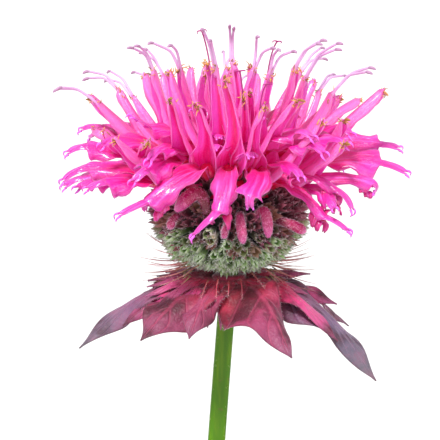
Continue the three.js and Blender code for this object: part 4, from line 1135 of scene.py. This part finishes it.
# Rings behind and on top: count, first and last azimuth, height angle, rise and length of the hood, droop
# and length of the lip, length of the stamens
FLOWER_RINGS = [
    (10, 108, 248, 38, 48, 19.5, 0, 14.5, 8.5), (7, 96, 264, 54, 64, 18.5, 10, 14, 7.5),
    (5, 0, 360, 73, 80, 15, 38, 8.5, 0), (1, 0, 360, 88, 88, 14, 60, 7, 0),
]
flowers = list(FRONT_FLOWERS)
for ring, row in enumerate(FLOWER_RINGS):
    count, first, last, height, rise, hood_length, droop, lip_length, stamen_length = row
    for i in range(count):
        n = ring * 20 + i
        flowers.append((
            (mix(first, last, (i + 0.5) / count) + 4 * draw(n, 31), height + 3 * draw(n, 32)),
            (rise + 7 * draw(n, 33), 14 * draw(n, 34), hood_length + 1.4 * draw(n, 35)),
            (droop + 12 * draw(n, 36), 12 * draw(n, 37), lip_length + draw(n, 38), 5.2 + 0.5 * draw(n, 39),
             30 * draw(n, 86), 90 + 40 * draw(n, 87)),
            (droop - 14 + 16 * draw(n, 40), 20 * draw(n, 41), 0.37 * lip_length + 0.8 * draw(n, 42)),
            stamen_length * (i % 2), 0,
        ))
petal_growth, stamen_growth, cup_growth = Growth(), Growth(), Growth()


def petal(path, sides, halves, rolls, off_axis, folds, fork, runs, own, kind, columns, squash=(1, 1)):
    """A petal skinned along a path. Its cross-section is an arc that rolls its edges up or, below 0, back.
    Each measure is one number, or one for every row."""
    u = np.linspace(-1, 1, columns)
    measures = (halves, rolls, off_axis, fork, runs, *folds)
    half, roll, lift, fork, run, groove, ridge, ruffle, waver = (
        np.broadcast_to(measure, len(path))[:, None] for measure in measures)
    roll = np.where(np.abs(roll) < 0.01, 0.01, roll)
    x = squash[0] * half * np.sin(roll * u) / roll
    x = x * (1 + waver * np.abs(u) ** 2 * np.sin(21 * run + 9 * own + 2.4 * np.sign(u)))
    y = squash[1] * half * (1 - np.cos(roll * u)) / roll + lift
    y = y - groove * np.exp(-(u / 0.3) ** 2) + ridge * np.cos(3 * math.pi * u) * (1 - u * u)
    y = y + ruffle * np.abs(u) ** 2.5 * np.sin(13 * run + 7 * own + 2.2 * np.sign(u))
    back = -fork * np.clip(1 - np.abs(u) / 0.6, 0, 1)
    points = spread_out(path, frames(path, sides), x, y, back)
    marks = marked(x.shape, np.clip(run, 0, 1), (u + 1) / 2, own, kind)
    shell(petal_growth, points, PETAL_THICKNESS, marks, (0, 0, UNDERSIDE, 0))
    return points


def laid(curves, stops, runs, passes):
    """The points of joined curves at given runs, with their corners eased. Each curve ends at its stop."""
    lengths = [run_of(curve)[-1] for curve in curves]
    dense = eased(spaced(np.concatenate([curves[0], *[curve[1:] for curve in curves[1:]]]), 0.14), passes)
    along = run_of(dense)
    ends = np.concatenate([[0], np.cumsum(lengths)]) * along[-1] / sum(lengths)
    return placed(np.interp(runs, stops, ends), along, dense)


class Flower:
    """An open flower on the ball. Its parts are grown one after the other, as their draws need."""

    def __init__(self, number, row):
        (self.azimuth, self.height), self.hood, self.lip, self.tongue, self.stamen_length, self.styled = row
        self.number = number
        self.picks = np.random.default_rng(500 + number)
        if number < OUTER_COUNT:
            self.own = 0.28 + 0.26 * self.draw(81)
        else:
            self.own = (0.62 if number < len(FRONT_FLOWERS) else 0.84) + 0.15 * self.draw(81)
        self.scale = mix(1, self.lip[3] / LIP_WIDTH, 0.3)
        self.radius = TUBE_RADIUS * self.scale
        self.out = ray(self.azimuth, self.height)
        self.foot = HEAD_CENTRE + self.out * TUBE_START
        self.throat = HEAD_CENTRE + self.out * FLOWER_THROAT * self.scale
        self.tube = np.stack([self.foot, self.throat])

    def draw(self, use):
        return draw(self.number, use)

    def grow_lip(self):
        """The lower lip with its tongue, its lobes and the small hooks at the tongue's two points."""
        droop, swing, length, width, twist, shoulder_roll = self.lip
        tongue_droop, tongue_turn, tongue_length = self.tongue
        radius, wide, trim = self.radius, width / 2, min(1, tongue_length / 5)
        lip_end = ray(self.azimuth + swing, droop)
        tongue_end = ray(self.azimuth + swing + tongue_turn, tongue_droop)
        lip_tip = self.throat + lip_end * length
        strap_middle = self.throat + ray(self.azimuth, (self.height + droop) / 2) * length / 2
        tongue_middle = lip_tip + (lip_end + tongue_end) * tongue_length / 4
        path = laid([
            self.tube, bend(self.throat, strap_middle, lip_tip, 12),
            bend(lip_tip, tongue_middle, lip_tip + tongue_end * tongue_length, 9),
        ], LIP_STOPS, LIP_RUNS, 34)
        halves = profile(LIP_RUNS, [
            (-0.6, 1.5), (0, 2.2), (0.12, 0.75 * wide), (0.25, 0.88 * wide), (0.4, 1.05 * wide),
            (0.55, 1.15 * wide), (0.62, 1.12 * wide + 0.3), (0.69, 1.15 * wide + 0.3), (0.715, 1.5),
            (0.76, 1.05), (0.88, 0.9), (0.95, 0.85), (1, 0.5),
        ])
        rolls = np.radians(profile(LIP_RUNS, [
            (-0.6, 95), (0, 95), (0.1, 60), (0.25, -10), (0.45, -0.5 * shoulder_roll),
            (0.56, -0.75 * shoulder_roll), (0.63, -shoulder_roll), (0.69, -shoulder_roll),
            (0.73, -0.4 * shoulder_roll), (0.78, -15), (0.93, 12), (1, 0),
        ]))
        off_axis = profile(LIP_RUNS, [
            (-0.6, -0.6 * radius), (0, -radius), (0.2, -0.5 * radius), (0.4, 0), (0.86, 0), (1, -0.9),
        ])
        folds = [profile(LIP_RUNS, stops) for stops in LIP_FOLDS]
        share = np.clip(LIP_RUNS, 0, 1)
        sides = ray(self.azimuth + 90 + (swing + tongue_turn * share ** 3) * share, twist * np.sqrt(share))
        fork = trim * profile(LIP_RUNS, LIP_FORK)
        skin = petal(path, sides, halves, rolls, off_axis, folds, fork, LIP_RUNS, self.own, LIP, LIP_COLUMNS)
        onwards, side, face = frames(path, sides)
        lobes = 0 if shoulder_roll <= LOBED_ROLL else 2 if self.number < OUTER_COUNT else 1
        rolled = shoulder_roll / FULL_ROLL
        for sign, column in ((-1, 0), (1, -1)):
            for spot, reach in LOBES[:lobes]:
                reach *= trim * mix(0.35, 1.2, rolled) * (1 + 0.3 * self.draw(92 + sign + spot))
                edge, ahead, down, off = skin[spot, column], onwards[spot], -face[spot], side[spot] * sign
                lobe = bend(edge - 0.5 * off, edge + reach * (0.6 * off + 0.8 * ahead),
                            edge + reach * (0.1 * off + 1.1 * ahead + 1.3 * rolled ** 2 * down), 7)
                share = np.linspace(0, 1, 7)
                petal(lobe, ahead, profile(share, LOBE_HALVES), 0.25, 0, (0, 0.12, 0.35 * share, 0),
                      0.5 * share, 0.2 + 0.2 * share, self.own, LIP, 5)
            point = skin[-1, column]
            hook = bend(point - 0.4 * onwards[-1], point + trim * (onwards[-1] + 0.5 * sign * side[-1]),
                        point + trim * (0.7 * onwards[-1] - (1 + 0.5 * self.picks.random()) * face[-1]), 6)
            thread(petal_growth, hook, (0.3, 0.3, 0.27, 0.22, 0.16, 0.08), 4, (1, 0.5, self.own, LIP))

    def grow_hood(self):
        """The upper lip: a narrow hood folded downwards, with short hairs round its tip."""
        rise, swing, length = self.hood
        hood_end = ray(self.azimuth + swing, rise)
        self.hood_tip = self.throat + hood_end * length
        middle = self.throat + (0.3 * self.out + 0.15 * hood_end) * length
        middle = middle + 4.4 * self.draw(88) * ray(self.azimuth + 90, 0) + (0, 0, 1.8 * self.draw(93))
        path = laid([self.tube, bend(self.throat, middle, self.hood_tip, 16)], HOOD_STOPS, HOOD_RUNS, 50)
        halves = (0.98 + 0.2 * self.draw(89)) * profile(HOOD_RUNS, HOOD_HALVES)
        rolls = -np.radians((1 + 0.08 * self.draw(94)) * profile(HOOD_RUNS, HOOD_ROLLS))
        off_axis = self.radius * profile(HOOD_RUNS, [(-0.6, 0.6), (0, 1), (0.4, 0.8), (1, 0.5)])
        fork = profile(HOOD_RUNS, [(-0.6, 0), (0.9, 0), (1, 0.9)])
        share = np.clip(HOOD_RUNS, 0, 1)
        sides = ray(self.azimuth + 90 + swing * share, 30 * self.draw(90) * share)
        self.hood_skin = petal(path, sides, halves, rolls, off_axis, HOOD_FOLDS, fork, HOOD_RUNS, self.own,
                               HOOD, HOOD_COLUMNS, (0.95, 1.1))
        self.hood_path, self.hood_frames = path, frames(path, sides)
        onwards, side, face = self.at_tip = [directions[-1] for directions in self.hood_frames]
        self.tip = path[-1] + face * 0.3
        aims = onwards * 0.7 + self.picks.standard_normal((TIP_HAIRS, 3)) * 0.6
        for aim in unit(aims):
            start = self.tip + side * 0.35 * self.picks.standard_normal()
            start = start - onwards * (0.4 + 1.6 * self.picks.random())
            end = start + aim * (0.6 + 0.6 * self.picks.random())
            curl_to = end + np.cross(aim, self.picks.standard_normal(3)) * 0.6
            marks = (0.5, 0.5, TIP_HAIR + 0.25 * self.picks.random(), 0)
            thread(stamen_growth, bend(start, end, curl_to, 5), (0.12, 0.16, 0.15, 0.12, 0.07), 3, marks)

    def grow_stamens(self):
        """Two threads that leave the hood near its tip, each with an anther that hooks down."""
        rise, swing, _ = self.hood
        _, side, face = self.hood_frames
        reach = self.stamen_length * (1 + 0.12 * self.draw(43))
        near = self.hood_tip + 0.5 * reach * ray(
            self.azimuth + swing + 5 * self.draw(45), rise - 3 + 5 * self.draw(46))
        far = near + 0.5 * reach * ray(self.azimuth, rise - 42)
        share = np.linspace(0, 1, STAMEN_ROWS)
        for sign in (-1, 1):
            base = self.hood_path[-3] + face[-3] * 0.3 + side[-3] * 0.2 * sign
            apart = side[-1] * sign * (0.8 + 0.5 * self.draw(48 + sign)) + 0.4 * self.picks.standard_normal(3)
            end = far + apart * 1.7 - (far - near) * (0.3 * (sign > 0))
            curve = np.array([base, self.tip + side[-1] * 0.25 * sign, near + apart * 0.7, end])
            path = laid([curve], (0, 1), share, 60)
            marks = marked((STAMEN_ROWS, 1), share[:, None], 0, 0, 0)
            thread(stamen_growth, path, STAMEN_RADIUS * mix(1.15, 0.85, share), 6, marks)
            ahead = unit(path[-1] - path[-2])
            anther = bend(path[-1] - ahead * 0.2, path[-1] + ahead * 0.8,
                          path[-1] + ahead * 0.5 - face[-1] * 1.2, 7)
            thread(stamen_growth, anther, (0.2, 0.34, 0.38, 0.36, 0.34, 0.28, 0.12), 6, (0, 0, ANTHER, 0))

    def grow_loose_anther(self):
        """An anther that just shows at the hood's tip."""
        onwards, side, face = self.at_tip
        loose = unit(onwards + side * self.draw(95) - 0.5 * face)
        anther = bend(self.tip, self.tip + 0.8 * loose, self.tip + 1.4 * loose - 0.6 * face, 6)
        thread(stamen_growth, anther, (0.1, 0.24, 0.32, 0.33, 0.28, 0.12), 6, (0.5, 0.5, LOOSE_ANTHER, 0))

    def grow_style(self):
        """A thin style that ends in two curled branches."""
        rise, swing, _ = self.hood
        onwards, side, face = self.at_tip
        lean = ray(self.azimuth + swing - 14, rise + 8)
        path = bend(self.tip - onwards * 4, self.tip + lean * 3.5 + face * 1.6,
                    self.tip + lean * 7 - face * 1.5, 14)
        thread(stamen_growth, path, np.full(14, 0.17), 5, (0.5, 0.5, STYLE, 0))
        ahead = unit(path[-1] - path[-2])
        for sign in (-1, 1):
            turn_to = unit(side * sign + ahead * 0.4)
            branch = bend(path[-1], path[-1] + turn_to * 1.3, path[-1] + turn_to * 1.1 - ahead * 1.1, 7)
            thread(stamen_growth, branch, (0.17, 0.16, 0.15, 0.14, 0.12, 0.1, 0.06), 5, (0.5, 0.5, STYLE, 0))

    def grow_foot(self):
        """The hairs on the hood, the plug deep in the tube and the calyx that cups it."""
        onwards, _, face = self.hood_frames
        rows = self.picks.integers(4, len(HOOD_RUNS) - 1, HOOD_HAIRS)
        columns = self.picks.integers(1, HOOD_COLUMNS - 1, HOOD_HAIRS)
        roots = self.hood_skin[rows, columns]
        off = unit(roots - self.hood_path[rows] + face[rows] * 0.4)
        lengths = 0.3 + 0.3 * self.picks.random(HOOD_HAIRS)
        hairs(petal_growth, roots, off + 0.8 * onwards[rows], lengths, HOOD_HAIR, (0.5, 0.5, self.own, HAIR))
        plug = np.stack([self.foot, self.throat - 1.8 * self.out, self.throat - 1.4 * self.out])
        radii = (self.radius - 0.2, self.radius - 0.2, 0.6 * self.radius)
        thread(petal_growth, plug, radii, 8, (0.16, 0.5, self.own, LIP))
        cup_end = min(19, FLOWER_THROAT * self.scale - 1)
        calyx(cup_growth, self.azimuth, self.height, cup_end - 1.8, cup_end + 0.4 * self.draw(83),
              1.75 * self.radius / TUBE_RADIUS, 1.1, 1 - 0.15 * max(0, self.draw(84)), 2000 + self.number)


# A ball under the crown, coloured as the throats, fills the gaps between the flowers with deep red painted
# shade
petal_growth.rings(ball(TUBE_START + 2, 24, 86, 10), (0.1, 0.5, 0.4, 0))
for number, row in enumerate(flowers):
    flower = Flower(number, row)
    flower.grow_lip()
    flower.grow_hood()
    if flower.stamen_length:
        flower.grow_stamens()
    if number < OUTER_COUNT and number % 3 == 0:
        flower.grow_loose_anther()
    if flower.styled:
        flower.grow_style()
    flower.grow_foot()

silky = Finish("petal", {
    "Roughness": 0.3, "Specular IOR Level": 0.5, "Subsurface Weight": 0.32, "Subsurface Scale": 0.002,
    "Subsurface Radius": (1, 0.35, 0.9), "Sheen Weight": 0.1, "Sheen Roughness": 0.4,
    "Sheen Tint": paint(255, 170, 240), "Coat Weight": 0.4, "Coat Roughness": 0.16, "Emission Strength": 0.13,
})
along, across, own, kind = silky.marks()
is_hood = silky.put("Clamp", {"Value": kind}).outputs["Result"]
strands = silky.put("CombineXYZ", {
    "X": silky.times(across, 9), "Y": silky.times(along, 1.6), "Z": silky.times(own, 40),
}).outputs["Vector"]
streak, velvet, cloud = silky.noise(1, 4, 0.6, strands), silky.noise(1700, 2), silky.noise(130, 3)
off_middle = silky.off(across, 0.5)
# The lips deepen to crimson towards the throat: partly their own colour, partly painted shade deep in the
# flowers
lip_colour = silky.ramp(
    along, (0, 222, 0, 30), (0.12, 240, 8, 70), (0.28, 224, 16, 112), (0.6, 232, 42, 178), (1, 242, 96, 226))
silky.colour = silky.ramp(
    along, (0, 240, 36, 150), (0.15, 246, 130, 246), (0.4, 246, 122, 244), (0.7, 246, 134, 240),
    (1, 242, 156, 228))
silky.tint(own, 0.62, 0.95, 0.7, (250, 156, 232))
silky.tint(own, 0.72, 0.5, 0.55, (240, 20, 144))
silky.colour = silky.blend(is_hood, lip_colour, silky.colour)
silky.coat(silky.times(silky.spread(own, 1.4, 1.6), 0.5), (228, 16, 116))
# Pale pink on the raised streaks is painted highlight, and deeper pink between them, fading towards the tips,
# is painted shade
silky.tint(streak, 0.48, 0.72, 0.6, (252, 128, 232))
groove_shade = silky.times(silky.spread(streak, 0.48, 0.28, 0, 0.75), silky.spread(along, 0.3, 0.7, 1, 0.5))
silky.coat(groove_shade, (216, 4, 92))
# Pale pink patches: painted highlight
silky.tint(cloud, 0.5, 0.75, 0.35, (248, 112, 220))
keel = silky.times(silky.spread(off_middle, 0.17, 0.03), silky.spread(along, 1.02, 0.75))
keel = silky.times(keel, silky.spread(own, 0.85, 0.66, 0.42, 0.95))
silky.coat(silky.times(keel, is_hood), (226, 6, 108))
# Pale edges, strongest on the lips: painted highlight along the rolled rims
edge = silky.times(silky.spread(off_middle, 0.44, 0.5), silky.spread(is_hood, 0, 1, 0.2, 0.06))
silky.coat(edge, (255, 170, 236))
silky.tint(kind, 1.4, 1.6, 1, (250, 178, 226))
# The hoods glow faintly red-pink and the lips barely: painted light that warms their shaded parts
glow_share = silky.work("SUBTRACT", 0.95, silky.times(is_hood, 0.95))
silky.fill(silky.shader.inputs["Emission Color"], silky.blend(glow_share, (255, 26, 132), (0, 0, 0)))
petal_skin = silky.seal(silky.plus(silky.times(streak, 1.6), silky.times(velvet, 0.5)), 0.0004, 0.8)
petals = petal_growth.piece("petals", petal_skin, "petal")
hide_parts("flower_crown")

# Two long mauve stamens or a thread-like style reach out past some of the hoods. Their anthers hook over,
# and small orange hairs and pollen sit at each hood's tip. Each flower stands in a dark calyx of its own.
mauve = Finish("stamen", {
    "Roughness": 0.4, "Subsurface Weight": 0.2, "Subsurface Scale": 0.001, "Subsurface Radius": (1, 0.6, 0.9),
})
along, _, kind, _ = mauve.marks()
mauve.colour = mauve.ramp(along, (0, 236, 120, 200), (0.4, 226, 180, 224), (1, 202, 152, 194))
for start, end, colour in (
    (0.15, 0.2, (168, 40, 118)), (0.4, 0.45, (176, 132, 166)), (0.55, 0.6, (156, 108, 50)),
    (0.8, 0.85, (226, 158, 84)),
):
    mauve.tint(kind, start, end, 1, colour)
stamen_growth.piece("stamens", mauve.seal(), "petal")
cup_growth.piece("flower_cups", calyx_skin, "calyx")
